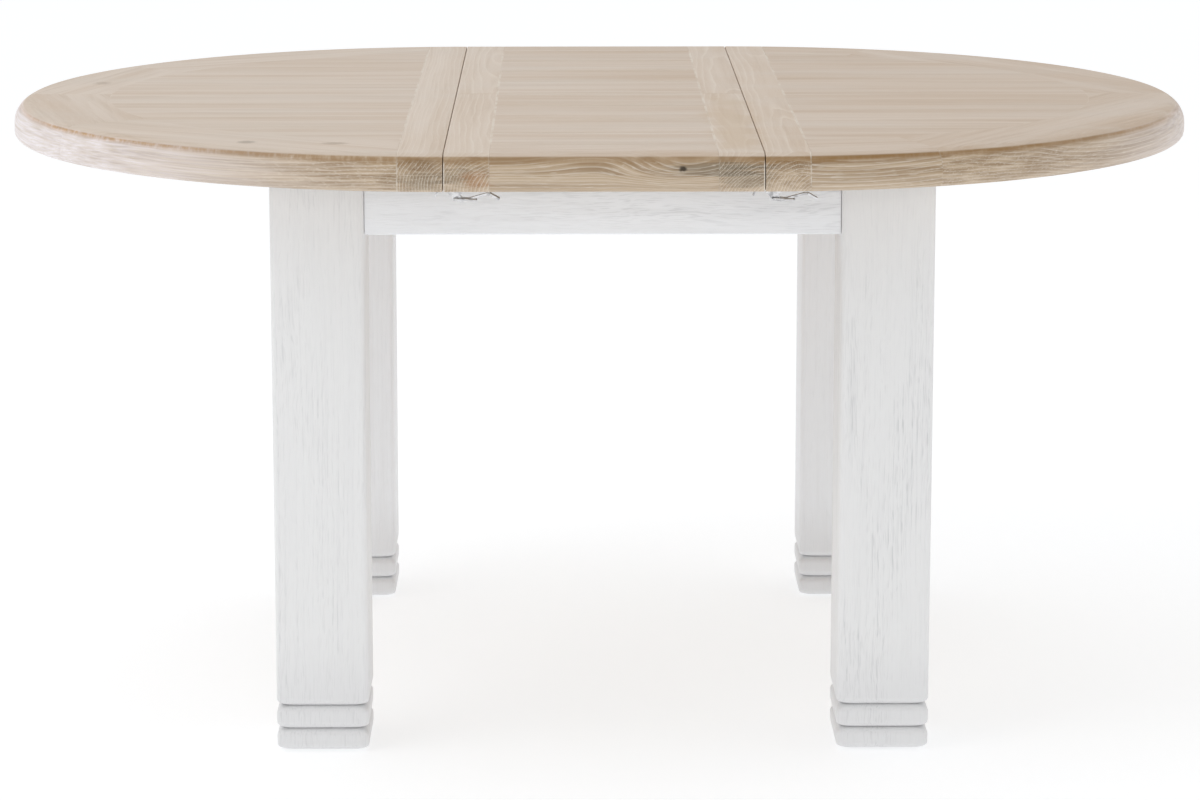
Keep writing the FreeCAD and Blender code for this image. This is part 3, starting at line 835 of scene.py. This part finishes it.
@dataclass(frozen=True)
class Joiner:
    """Cuts, moulds and finishes boards, and sets them on their bodies."""

    sizes: Sizes
    finishes: Finishes
    draw: random.Random
    arris: float = 0.4 * MM
    lime_width: float = 1.2 * MM
    nose_in: float = 24.0 * MM
    nose_down: float = 28.0 * MM
    under: float = 9.0 * MM

    def set_board(self, shell: Shell, body: str, node: str, coat: Coat, cut: Callable | None = None) -> None:
        """Finish a board and let it ride on its body in place of a CAD node.

        Args:
            shell: the board's shell.
            body: the CAD body that it rides on.
            node: the CAD node that it stands for.
            coat: its finish.
            cut: what is still to be done to the object, if anything.
        """
        slot, prefix, angle = coat.value
        piece = shell.finish(prefix + node, getattr(self.finishes, slot), angle)
        if cut:
            cut(piece)
        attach(piece, body)
        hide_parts(node)
        LOG.info("%s stands for %s on %s", piece.name, node, body)

    def timber(self, centre: Point, depth: float = 0.055) -> tuple[Vector, float]:
        """Pick where a board is cut from its log, so that each has its own figure.

        Args:
            centre: the board's middle across the grain.
            depth: how far below the board the log's heart lies.

        Returns:
            What is added to the grain coordinates, and the tone from -1, pale, to 1, warm.
        """
        draw = self.draw.uniform
        shift = Vector((draw(-4.0, 4.0), draw(-0.02, 0.02) - centre[0], depth + draw(-0.015, 0.02) - centre[1]))
        return shift, draw(-1.0, 1.0)

    def moulding(self, sign: float) -> list[Point]:
        """The top's edge from the lip's inner corner, round its small and its broad rounding, to the shoulder.

        Args:
            sign: -1 for the front edge and 1 for the back.

        Returns:
            Points as a signed distance from the middle and a height.
        """
        s = self.sizes
        low = arc((s.radius - self.under, s.under_edge + self.under), (self.under, self.under), -90, 0, 4)
        nose = arc((s.radius - self.nose_in, s.top - self.nose_down), (self.nose_in, self.nose_down), 0, 90, 12)
        return [(sign * reach, height) for reach, height in [(s.radius - s.lip, s.under_edge)] + low + nose]

    def across_band(self, low: float, high: float) -> tuple[list[float], list[float], list[float]]:
        """Stations across a band: softened at the seam, lime-lined at the joint.

        Args:
            low: the seam side.
            high: the joint side.

        Returns:
            The place, inset and lime of each station.
        """
        soft, lime, nick = self.arris * 2, self.lime_width, 0.2 * MM
        step = math.copysign(1.0, high - low)
        places = [low, low + step * soft * 0.3, low + step * soft, (low + high) / 2,
                  high - step * lime * 1.5, high - step * lime, high - step * nick, high]
        return places, [soft, soft * 0.3, 0.0, 0.0, 0.0, 0.0, 0.0, nick], [0.0] * 5 + [1.0] * 3

    def planks(self, edges: Point, count: int, steps: int, mirror: Point, span: Callable[[float], Point],
               corners: dict[int, float]) -> Shell:
        """A panel of planks of slightly different widths along the table.

        Args:
            edges: the panel's two edges, as distances from the middle.
            count: how many planks.
            steps: stations across each plank.
            mirror: the signs of the panel's X and Y.
            span: gives the panel's ends at a distance from the middle.
            corners: lime on the points of a section.

        Returns:
            The panel.
        """
        s, shell = self.sizes, Shell()
        widths = [self.draw.uniform(0.8, 1.2) for _ in range(count)]
        scale = (edges[1] - edges[0]) / sum(widths)
        low = edges[0]
        for order, width in enumerate(widths):
            high = edges[1] if order == count - 1 else low + width * scale
            shift, tone = self.timber((mirror[1] * (low + high) / 2, s.top))
            between = high - low - 2 * self.arris
            inside = [(low + self.arris + between * step / steps, s.top) for step in range(steps + 1)]
            loops = []
            for y, upper in [(low, s.top - self.arris / 2)] + inside + [(high, s.top - self.arris / 2)]:
                near, far = span(y)
                strip = min(self.lime_width, (far - near) / 4)
                section = [(near, s.under_board), (far, s.under_board)]
                section += [(x, upper) for x in (far, far - strip, far - strip * 1.5,
                                                 near + strip * 1.5, near + strip, near)]
                loops.append([Vector((mirror[0] * x, mirror[1] * y, z)) for x, z in section])
            shell.loft(loops, lengthwise(shift, mirror[0]), tone, corners=corners)
            low = high
        return shell


def lengthwise(shift: Vector, sign: float = 1.0) -> Reader:
    """A reading of grain that runs along the table, mirrored on the half whose sign is -1."""
    return lambda point: Vector((sign * point.x, point.y, point.z)) + shift


def crosswise(shift: Vector, sign: float = 1.0) -> Reader:
    """A reading of grain that runs along a seam, mirrored on the half whose sign is -1."""
    return lambda point: Vector((point.y, sign * point.x, point.z)) + shift


def evaluated(piece: bpy.types.Object, modifier: bpy.types.Modifier) -> None:
    """Make a modifier's result the piece's own plain mesh.

    Args:
        piece: the piece.
        modifier: its modifier, which is then removed.
    """
    bpy.context.view_layer.update()
    shape = bpy.data.meshes.new_from_object(piece.evaluated_get(bpy.context.evaluated_depsgraph_get()))
    piece.modifiers.remove(modifier)
    piece.data = shape


# ---- the top ------------------------------------------------------------------------------
@dataclass
class HalfTop:
    """One half of the round top: planked panel, cross band and rim segments."""

    side: Side
    joiner: Joiner
    planks: int = 8
    plank_steps: int = 32
    rim_step: float = 1.5
    rim_heart: float = 0.17
    band_heart: float = 0.012
    band_pith: float = 0.012
    left_pith: float = -0.07
    wear: float = 0.5 * MM
    wear_waves: Place = (9.0, 30.0, 5.0)
    wear_bias: float = 0.35

    def build(self) -> None:
        """Build and fit every wooden piece of the half top."""
        label = self.side.name.lower()
        body = label + "_half"
        s = self.joiner.sizes
        low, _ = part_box("rim_2_" + label)
        joint = round(math.degrees(math.asin(-low.y / s.radius)), 1)
        limits = (-90.0, -joint, 0.0, joint, 90.0)
        for index in range(4):
            shell = self.rim_segment(index, math.radians(limits[index]), math.radians(limits[index + 1]))
            self.joiner.set_board(shell, body, f"rim_{index + 1}_{label}", Coat.LIMED)
        self.joiner.set_board(self.band(), body, "band_" + label, Coat.LIMED)
        self.joiner.set_board(self.panel(), body, "panel_" + label, Coat.LIMED)

    def rim_segment(self, index: int, low: float, high: float) -> Shell:
        """One segment of the rim, between two joints.

        Args:
            index: 0 at the front seam to 3 at the back seam.
            low: angle of its first joint, in radians.
            high: angle of its last joint, in radians.

        Returns:
            The segment.
        """
        j, s = self.joiner, self.joiner.sizes
        clear, inner, span = s.band_out - s.centre, s.radius - s.rim, high - low
        outline = j.moulding(1) + [(inner, s.top), (inner, s.under_board), (s.radius - s.lip, s.under_board)]
        steps = max(8, round(math.degrees(span) / self.rim_step))
        margin, strip = j.arris / s.radius, j.lime_width / s.radius
        shares = [0.0, margin, margin + strip] + [span * step / steps for step in range(1, steps)]
        shares += [span - margin - strip, span - margin, span]
        last = len(shares) - 1
        loops = []
        for order, share in enumerate(shares):
            at_end = order in (0, last)
            loop = []
            for reach, height in inset(outline, j.arris) if at_end else outline:
                start = -math.acos(clear / reach) if index == 0 else low
                end = math.acos(clear / reach) if index == 3 else high
                angle = start + (end - start) * share / span
                if not at_end:
                    reach -= self.hand_wear(reach, height, angle)
                loop.append(Vector((self.side.value * (s.centre + reach * math.cos(angle)),
                                    reach * math.sin(angle), height)))
            loops.append(loop)
        shift, tone = j.timber((s.radius * 0.9, s.top), depth=self.rim_heart)
        middle = (low + high) / 2

        def read(point: Vector) -> Vector:
            """Read the grain along the segment's chord.

            Args:
                point: a point of the segment.

            Returns:
                Its grain coordinates.
            """
            out = self.side.value * point.x - s.centre
            return Vector((point.y * math.cos(middle) - out * math.sin(middle),
                           out * math.cos(middle) + point.y * math.sin(middle), point.z)) + shift

        limes = [0.3 if min(order, last - order) < 2 else 0.0 for order in range(last + 1)]
        return Shell().loft(loops, read, tone, limes)

    def hand_wear(self, reach: float, height: float, angle: float) -> float:
        """Work out how far the rounded edge is worn in at a point.

        Args:
            reach: distance from the half's centre.
            height: height above the floor.
            angle: angle round the centre, in radians.

        Returns:
            The depth of the wear, in metres.
        """
        j = self.joiner
        if reach < j.sizes.radius - j.nose_in * 0.9 or height > j.sizes.top - 1.0 * MM:
            return 0.0
        spot = Vector((angle, height, self.side.value)) * Vector(self.wear_waves)
        return self.wear * max(0.0, noise.noise(spot) + self.wear_bias)

    def band(self) -> Shell:
        """Make the cross band beside the seam, with its moulded ends.

        Returns:
            The band.
        """
        j, s = self.joiner, self.joiner.sizes
        inner = s.radius - s.lip
        outline = j.moulding(-1) + j.moulding(1)[::-1] + [(inner, s.under_board), (-inner, s.under_board)]
        outline.reverse()
        pith = s.band_out + self.side.value * self.band_pith + (self.left_pith if self.side is Side.LEFT else 0.0)
        shift, tone = j.timber((pith, s.under_edge), depth=self.band_heart)
        places, insets, limes = j.across_band(s.seam, s.band_out)
        loops = []
        for x, soft in zip(places, insets):
            loop = []
            for reach, height in inset(outline, soft):
                depth = math.sqrt(max(reach * reach - (x - s.centre) ** 2, 0.0))
                loop.append(Vector((self.side.value * x, math.copysign(depth, reach), height)))
            loops.append(loop)
        return Shell().loft(loops, crosswise(shift, self.side.value), tone * 0.5, limes)

    def panel(self) -> Shell:
        """Make the panel inside the rim, as separate planks along the table.

        Returns:
            The panel.
        """
        s = self.joiner.sizes
        inner, clear = s.radius - s.rim, s.band_out - s.centre
        reach = math.sqrt(inner * inner - clear * clear) - 0.01 * MM

        def span(y: float) -> Point:
            """From the band to the curved rim."""
            return s.band_out, s.centre + math.sqrt(inner * inner - y * y)

        return self.joiner.planks((-reach, reach), self.planks, self.plank_steps, (self.side.value, 1), span,
                                  {2: 0.35, 3: 0.35, 6: 1.0, 7: 1.0})


@dataclass
class LeafHalf:
    """One half of the folding leaf: planks, built-up lip and two cross bands."""

    row: Row
    joiner: Joiner
    planks: int = 4
    plank_steps: int = 6
    band_heart: float = 0.012
    band_pith: float = 0.045
    lip_heart: float = 0.09
    link_half: float = 1.5 * MM
    link_rise: float = 1.0 * MM
    overrun: float = 1.0 * MM

    def build(self) -> None:
        """Build and fit every wooden piece of the leaf half."""
        label = self.row.name.lower()
        body = "leaf_" + label
        for side in Side:
            node = f"leaf_{side.name.lower()}_{label}"
            self.joiner.set_board(self.cross_band(side), body, node, Coat.LIMED)
        self.joiner.set_board(self.lip(), body, "leaf_lip_" + label, Coat.LIMED)
        self.joiner.set_board(self.panel(), body, "leaf_panel_" + label, Coat.LIMED, self.cut_pockets)

    def section(self, inner: float) -> list[Point]:
        """The section of a board that ends at the moulded edge.

        Args:
            inner: where it begins, as a distance from the middle.

        Returns:
            Its outline, with the solid on the left.
        """
        s, sign = self.joiner.sizes, self.row.value
        lip, soft = s.radius - s.lip, self.joiner.arris * 1.5
        inside = [(inner, s.top)]
        if inner < lip:
            inside = [(inner + soft, s.top), (inner, s.top - soft), (inner, s.under_board), (lip, s.under_board)]
        outline = self.joiner.moulding(sign) + [(sign * reach, height) for reach, height in inside]
        return outline[::-1] if sign < 0 else outline

    def loops(self, outline: Sequence[Point], places: Sequence[float], insets: Sequence[float]) -> list[list[Vector]]:
        """The outline at each place along X, moved inwards by its inset."""
        return [[Vector((x, reach, height)) for reach, height in inset(outline, soft)]
                for x, soft in zip(places, insets)]

    def cross_band(self, side: Side) -> Shell:
        """Make the cross band beside a seam.

        Args:
            side: which seam.

        Returns:
            The band.
        """
        j, s = self.joiner, self.joiner.sizes
        pith = side.value * (s.leaf_side + s.leaf_band) / 2 + self.band_pith
        shift, tone = j.timber((pith, s.under_edge), depth=self.band_heart)
        places, insets, limes = j.across_band(side.value * s.leaf_side, side.value * s.leaf_band)
        return Shell().loft(self.loops(self.section(s.fold), places, insets), crosswise(shift), tone * 0.5, limes)

    def lip(self) -> Shell:
        """Make the built-up outer board with the moulded edge.

        Returns:
            The lip.
        """
        j, s = self.joiner, self.joiner.sizes
        shift, tone = j.timber((self.row.value * s.radius, s.under_edge), depth=self.lip_heart)
        end, soft = s.leaf_band, j.arris
        places = [-end, -end + soft, -end + 2 * MM, end - 2 * MM, end - soft, end]
        loops = self.loops(self.section(s.radius - s.lip), places, [soft, 0.0, 0.0, 0.0, 0.0, soft])
        return Shell().loft(loops, lengthwise(shift), tone, [0.6, 0.6, 0.0, 0.0, 0.6, 0.6])

    def panel(self) -> Shell:
        """Make the planks between the lip and the fold.

        Returns:
            The panel.
        """
        s = self.joiner.sizes
        return self.joiner.planks((s.fold, s.radius - s.lip), self.planks, self.plank_steps, (1, self.row.value),
                                  lambda y: (-s.leaf_band, s.leaf_band), {2: 1.0, 3: 1.0, 6: 1.0, 7: 1.0})

    def cut_pockets(self, piece: bpy.types.Object) -> None:
        """Cut the pockets of the hinge cups out of the panel's folding edge.

        Args:
            piece: the panel.
        """
        low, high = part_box("hinge_cups_" + self.row.name.lower())
        link_low, link_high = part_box("hinge_links")
        spread = (link_high.x - link_low.x) / 2 - self.link_half
        half = (high.x - low.x) / 2 - spread
        near, far = -self.row.value * self.overrun, self.row.value * max(abs(low.y), abs(high.y))
        top = high.z - self.link_rise
        section = ((near, low.z), (far, low.z), (far, top), (near, top))
        pockets = Shell()
        for middle in (-spread, 0.0, spread):
            loops = [[Vector((x, y, z)) for y, z in section] for x in (middle - half, middle + half)]
            pockets.loft(loops, lambda point: point)
        cutter = pockets.finish("pocket_" + self.row.name.lower(), self.joiner.finishes.limed_oak, 32.0)
        cut = piece.modifiers.new("pockets", "BOOLEAN")
        cut.operation, cut.solver, cut.object = "DIFFERENCE", "EXACT", cutter
        evaluated(piece, cut)
        bpy.data.objects.remove(cutter)


# ---- the base -----------------------------------------------------------------------------
@dataclass
class Leg:
    """A square leg with softly rounded edges and two grooves carved round its foot."""

    row: Row
    side: Side
    joiner: Joiner
    round_edge: float = 6.2 * MM
    groove: float = 9.5 * MM
    groove_heights: tuple[float, float] = (0.030, 0.060)
    foot_in: float = 4.5 * MM
    foot_up: float = 9.0 * MM
    corner_cut: float = 13.0 * MM
    corner_steps: int = 6
    plain: float = 0.35
    uneven: float = 0.35 * MM
    ripples: Place = (12.0, 12.0, 14.0)

    def stations(self, low: float, high: float, half: float) -> list[Place]:
        """The shape of the leg from the floor up.

        Args:
            low: the underside.
            high: the top.
            half: half the full width.

        Returns:
            Heights, half widths and corner radii.
        """
        deep, soft, cut = self.groove, self.round_edge, self.corner_cut
        bends = [(self.foot_in, arc((0.0, low + self.foot_up), (self.foot_in, self.foot_up), -75, 0, 6))]
        for centre in self.groove_heights:
            bends.append((deep, arc((0.0, centre - deep), (deep, deep), 0, 88, 7)
                          + arc((0.0, centre + deep), (deep, deep), -88, 0, 7)))
        stations = [(low, half - self.foot_in, soft + cut)]
        for reach, bend in bends:
            stations += [(height, half - reach + out, soft + cut * (1 - out / reach)) for out, height in bend]
        return stations + [(high - self.plain, half, soft), (high, half, soft)]

    def build(self) -> None:
        """Build and fit the leg."""
        node = f"leg_{self.row.name.lower()}_{self.side.name.lower()}"
        low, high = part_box(node)
        middle = (low + high) / 2
        draw = self.joiner.draw.uniform
        seed = draw(0.0, 50.0)
        stations = self.stations(low.z, high.z, (high.x - low.x) / 2)
        loops = [self.ring(middle, height, width, soft, seed) for height, width, soft in stations]
        shift = Vector((draw(-3, 3), draw(0.03, 0.06), draw(0.02, 0.05)))

        def read(point: Vector) -> Vector:
            """Grain up the leg."""
            return Vector((point.z, point.x - middle.x, point.y - middle.y)) + shift

        self.joiner.set_board(Shell().loft(loops, read, self.tone_and_painted_light()), "frame", node, Coat.PAINTED)

    def tone_and_painted_light(self) -> float:
        """The tone: above 0 opens the grain, and further from 0 paints the leg lighter and cooler, as painted light
        against the shade under the top.
        """
        return -0.8 if self.row is Row.BACK else {Side.LEFT: 0.0, Side.RIGHT: 0.35}[self.side]

    def ring(self, middle: Vector, height: float, width: float, soft: float, seed: float) -> list[Vector]:
        """The leg's outline at a height, with slightly uneven hand-worked sides.

        Args:
            middle: the middle of the leg.
            height: the height above the floor.
            width: half the leg's width there.
            soft: the radius of its corners there.
            seed: sets one leg's unevenness apart from another's.

        Returns:
            Its points.
        """
        ring = []
        for x, y in rounded((width, width), soft, self.corner_steps):
            spot = Vector((x, y, height)) * Vector(self.ripples) + Vector((seed, 0.0, 0.0))
            wear = max(0.0, noise.noise(spot) + 0.4)
            kept = 1 - self.uneven * wear / width
            ring.append(Vector((middle.x + x * kept, middle.y + y * kept, height)))
        return ring


@dataclass
class Apron:
    """A painted rail of the base between two legs, with eased long edges."""

    name: str
    along: Grain
    reach: float
    joiner: Joiner
    ease: float = 2.2 * MM
    corner_steps: int = 4

    def build(self) -> None:
        """Build and fit the apron, without the tenons that lie in the legs."""
        low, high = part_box(self.name)
        across, soft = 1 - self.along.value, self.ease
        middle, half = (low + high) / 2, (high - low) / 2
        outline = rounded((half[across], half.z), soft, self.corner_steps)
        loops = []
        shoulder = self.reach - soft * 0.6
        for place, share in ((-self.reach, 1.0), (-shoulder, 0.0), (0.0, 0.0), (shoulder, 0.0), (self.reach, 1.0)):
            loop = []
            for thick, tall in inset(outline, share * soft * 0.4):
                point = Vector((0.0, 0.0, middle.z + tall))
                point[self.along.value], point[across] = place, middle[across] + thick
                loop.append(point)
            loops.append(loop)
        draw = self.joiner.draw.uniform
        shift = Vector((draw(-3, 3), draw(0.02, 0.05), -middle.z + 0.05))

        def read(point: Vector) -> Vector:
            """Grain along the apron."""
            return Vector((point[self.along.value], point[across], point.z)) + shift

        # Tone 1 paints the apron lighter and cooler: painted light against the shade under the top.
        self.joiner.set_board(Shell().loft(loops, read, 1.0), "frame", self.name, Coat.PAINTED)


# ---- fixings ------------------------------------------------------------------------------
@dataclass
class ScrewHeads:
    """Round screw heads with a cross recess, set on a body by a node tree."""

    name: str
    body: str
    places: list[Screw]
    steel: bpy.types.Material
    radius: float = 2.4 * MM
    height: float = 0.9 * MM

    def tree(self) -> bpy.types.GeometryNodeTree:
        """Write the node tree that sets a head at each point, turned to its direction.

        Returns:
            The tree, with inputs for the head's radius, height and metal.
        """
        tree = bpy.data.node_groups.new("screw_heads", "GeometryNodeTree")
        given = {"Geometry": "Geometry", "Head radius": "Float", "Head height": "Float", "Metal": "Material"}
        for label, kind in given.items():
            tree.interface.new_socket(label, in_out="INPUT", socket_type="NodeSocket" + kind)
        tree.interface.new_socket("Geometry", in_out="OUTPUT", socket_type="NodeSocketGeometry")
        sheet = NodeSheet(tree)
        points, radius, height, steel = (sheet.add("NodeGroupInput", label) for label in given)
        head = sheet.add("GeometryNodeMeshCone", "Mesh", {
            "Vertices": 20, "Radius Bottom": radius, "Radius Top": radius * 0.72, "Depth": height})
        cross = sheet.add("GeometryNodeJoinGeometry", 0)
        for long, wide in ((1.1, 0.30), (0.30, 1.1)):
            size = sheet.add("ShaderNodeCombineXYZ", 0, {"X": radius * long, "Y": radius * wide, "Z": radius * 0.45})
            slot = sheet.add("GeometryNodeMeshCube", "Mesh", {"Size": size})
            lift = sheet.add("ShaderNodeCombineXYZ", 0, {"Z": height})
            moved = sheet.add("GeometryNodeTransform", 0, {"Geometry": slot, "Translation": lift})
            sheet.feed(cross.socket.node, {0: moved})
        cut = sheet.add("GeometryNodeMeshBoolean", "Mesh", {"Mesh 1": head, "Mesh 2": cross}, operation="DIFFERENCE")
        facing = sheet.add("GeometryNodeInputNamedAttribute", "Attribute", {"Name": "facing"},
                           data_type="FLOAT_VECTOR")
        turn = sheet.add("FunctionNodeAlignRotationToVector", "Rotation", {"Vector": facing}, axis="Z")
        heads = sheet.add("GeometryNodeInstanceOnPoints", "Instances",
                          {"Points": points, "Instance": cut, "Rotation": turn})
        real = sheet.add("GeometryNodeRealizeInstances", 0, {0: heads})
        dressed = sheet.add("GeometryNodeSetMaterial", 0, {"Geometry": real, "Material": steel})
        sheet.feed(tree.nodes.new("NodeGroupOutput"), {"Geometry": dressed})
        return tree

    def build(self) -> None:
        """Set the heads and let them ride on their body."""
        points = bpy.data.meshes.new(self.name + "_points")
        points.from_pydata([place for place, _ in self.places], [], [])
        layer = points.attributes.new("facing", "FLOAT_VECTOR", "POINT")
        layer.data.foreach_set("vector", [number for _, way in self.places for number in way])
        piece = bpy.data.objects.new(self.name, points)
        bpy.context.scene.collection.objects.link(piece)
        modifier = piece.modifiers.new("heads", "NODES")
        modifier.node_group = bpy.data.node_groups.get("screw_heads") or self.tree()
        values = {"Head radius": self.radius, "Head height": self.height, "Metal": self.steel}
        for item in modifier.node_group.interface.items_tree:
            if item.in_out == "INPUT" and item.name in values:
                modifier[item.identifier] = values[item.name]
        evaluated(piece, modifier)
        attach(piece, self.body)
        LOG.info("%s: %d heads on %s", self.name, len(self.places), self.body)


@dataclass(frozen=True)
class Fixings:
    """Every screw head that shows from below."""

    steel: bpy.types.Material
    sunk: float = 0.3 * MM
    latch_wide: float = 18.0 * MM
    latch_thick: float = 2.0 * MM
    plate_thick: float = 3.0 * MM
    bracket_in: float = 30.0 * MM
    bracket_spread: float = 10.0 * MM
    pivot_spread: float = 15.0 * MM
    pivot_rows: Point = (10.0 * MM, 26.0 * MM)

    def latch(self, node: str, share: float) -> list[Screw]:
        """The two screws of each plate in a latch node, facing down.

        Args:
            node: the CAD node of the plate or plates.
            share: distance of the first screw from the plate's end, as a share of its length.

        Returns:
            Places and directions.
        """
        low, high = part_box(node)
        rows, wide = [(low.y + high.y) / 2], self.latch_wide
        if high.y - low.y > 2 * wide:
            rows = [low.y + wide / 2, high.y - wide / 2]
        z = high.z - self.latch_thick - self.sunk
        ends = [low.x + (high.x - low.x) * part for part in (share, 1 - share * 1.6)]
        return [(Vector((x, y, z)), Vector((0, 0, -1))) for y in rows for x in ends]

    def brackets(self) -> list[Screw]:
        """Place the screws of the leaf brackets, facing down under their flanges.

        Returns:
            Places and directions.
        """
        low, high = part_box("leaf_brackets")
        x, y, z = high.x - self.bracket_in, (low.y + high.y) / 2, high.z - self.plate_thick - self.sunk
        return [(Vector((sign * x, y + along * self.bracket_spread, z)), Vector((0, 0, -1)))
                for sign in (-1, 1) for along in (-1, 1)]

    def pivot_plates(self) -> list[Screw]:
        """Place the screws of the pivot plates, facing the middle of the table.

        Returns:
            Places and directions.
        """
        low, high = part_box("pivot_plates")
        x, y = high.x - self.plate_thick - self.sunk, (low.y + high.y) / 2
        return [(Vector((sign * x, y + along * self.pivot_spread, low.z + up)), Vector((-sign, 0, 0)))
                for sign in (-1, 1) for along in (-1, 1) for up in self.pivot_rows]

    def build(self) -> None:
        """Set all the heads, body by body."""
        hook, base = 0.20, 0.14
        groups = [
            ("hook_screws_left", "left_half", self.latch("latch_hooks_left", hook)),
            ("base_screws_right", "right_half", self.latch("latch_bases_right", base)),
        ]
        for label, more in (("front", self.brackets()), ("back", [])):
            spots = self.latch("latch_hook_" + label, hook) + self.latch("latch_base_" + label, base)
            groups.append(("leaf_screws_" + label, "leaf_" + label, spots + more))
        groups.append(("plate_screws", "frame", self.pivot_plates()))
        for name, body, spots in groups:
            ScrewHeads(name, body, spots, self.steel).build()


# ---- the room -----------------------------------------------------------------------------
@dataclass(frozen=True)
class Studio:
    """A white room: a pale floor, a surround that is brighter beside the table, and soft lamps."""

    floor_size: float = 60.0
    ahead: float = 0.40
    beside: float = 0.90
    floor_glow: float = 0.52
    floor_grey: float = 0.60

    def build(self) -> None:
        """Make the floor, the surround and the lamps."""
        self.floor()
        self.world()
        self.lamp("key", (-2.4, -1.6, 3.4), 2.6, 24.0)
        self.lamp("front", (0.2, -9.0, 0.7), 6.0, 140.0)
        bpy.context.scene.view_settings.view_transform = "Standard"

    def floor(self) -> None:
        """A pale floor that glows a little, so that shadows on it stay faint."""
        size, grey = self.floor_size / 2, self.floor_grey
        mesh = bpy.data.meshes.new("floor")
        mesh.from_pydata([(-size, -size, 0), (size, -size, 0), (size, size, 0), (-size, size, 0)], [], [(0, 1, 2, 3)])
        mesh.materials.append(Finish("floor").shade(
            (grey * 0.98, grey, grey * 1.02, 1.0), 0.9, 0.0,
            Emission_Color=(1.0, 1.0, 1.0, 1.0), Emission_Strength=self.floor_glow))
        floor = bpy.data.objects.new("floor", mesh)
        bpy.context.scene.collection.objects.link(floor)

    def world(self) -> None:
        """A surround that lights softly, weaker from the front, and looks white."""
        world = bpy.data.worlds.new("surround")
        world.use_nodes = True
        sheet = NodeSheet(world.node_tree)
        turned = sheet.add("ShaderNodeTexCoord", "Generated").axis("Y").ramp(-0.9, -0.1)
        light = turned * (self.beside - self.ahead) + self.ahead
        seen = sheet.add("ShaderNodeLightPath", "Is Camera Ray") * (1.05 - light)
        sheet.feed(world.node_tree.nodes["Background"], {"Color": (1.0, 1.0, 1.0, 1.0), "Strength": seen + light})
        bpy.context.scene.world = world

    def lamp(self, name: str, place: Place, size: float, power: float) -> None:
        """A square soft lamp aimed at the table.

        Args:
            name: its name.
            place: where it hangs.
            size: its width.
            power: its power in watts.
        """
        data = bpy.data.lights.new(name, "AREA")
        data.shape, data.size, data.energy = "SQUARE", size, power
        lamp = bpy.data.objects.new(name, data)
        lamp.location = place
        lamp.rotation_euler = (Vector((0.0, 0.0, 0.5)) - lamp.location).to_track_quat("-Z", "Y").to_euler()
        bpy.context.scene.collection.objects.link(lamp)


@dataclass(frozen=True)
class Viewpoint:
    """The camera: place in metres, turns in degrees, lens in millimetres."""

    place: Place = (-0.0474, -5.0033, 1.4109)
    down: float = 9.98
    right: float = 0.55
    lens: float = 112.0
    shift: float = -0.1

    def build(self) -> None:
        """Make the camera and look through it."""
        data = bpy.data.cameras.new("view")
        data.lens, data.sensor_width, data.shift_y, data.clip_end = self.lens, 36.0, self.shift, 100.0
        camera = bpy.data.objects.new("view", data)
        camera.location = self.place
        camera.rotation_mode = "YXZ"
        camera.rotation_euler = (math.radians(90.0 - self.down), 0.0, math.radians(-self.right))
        bpy.context.scene.collection.objects.link(camera)
        bpy.context.scene.camera = camera


def main() -> None:
    """Build the table piece by piece, then the room and the camera."""
    sizes = Sizes.read()
    finishes = Finishes.make(sizes)
    finishes.dress_cad_nodes()
    joiner = Joiner(sizes, finishes, random.Random(1207))
    for side in Side:
        HalfTop(side, joiner).build()
    for row in Row:
        LeafHalf(row, joiner).build()
    for row in Row:
        for side in Side:
            Leg(row, side, joiner).build()
    leg_low, leg_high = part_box("leg_front_right")
    joint_gap = 0.5 * MM
    for names, along, reach in ((("apron_front", "apron_back"), Grain.X, leg_low.x),
                                (("apron_left", "apron_right"), Grain.Y, -leg_high.y)):
        for name in names:
            Apron(name, along, reach - joint_gap, joiner).build()
    Fixings(finishes.steel).build()
    Studio().build()
    Viewpoint().build()


if __name__ == "__main__":
    logging.basicConfig(level=logging.INFO, format="%(name)s: %(message)s")
    main()
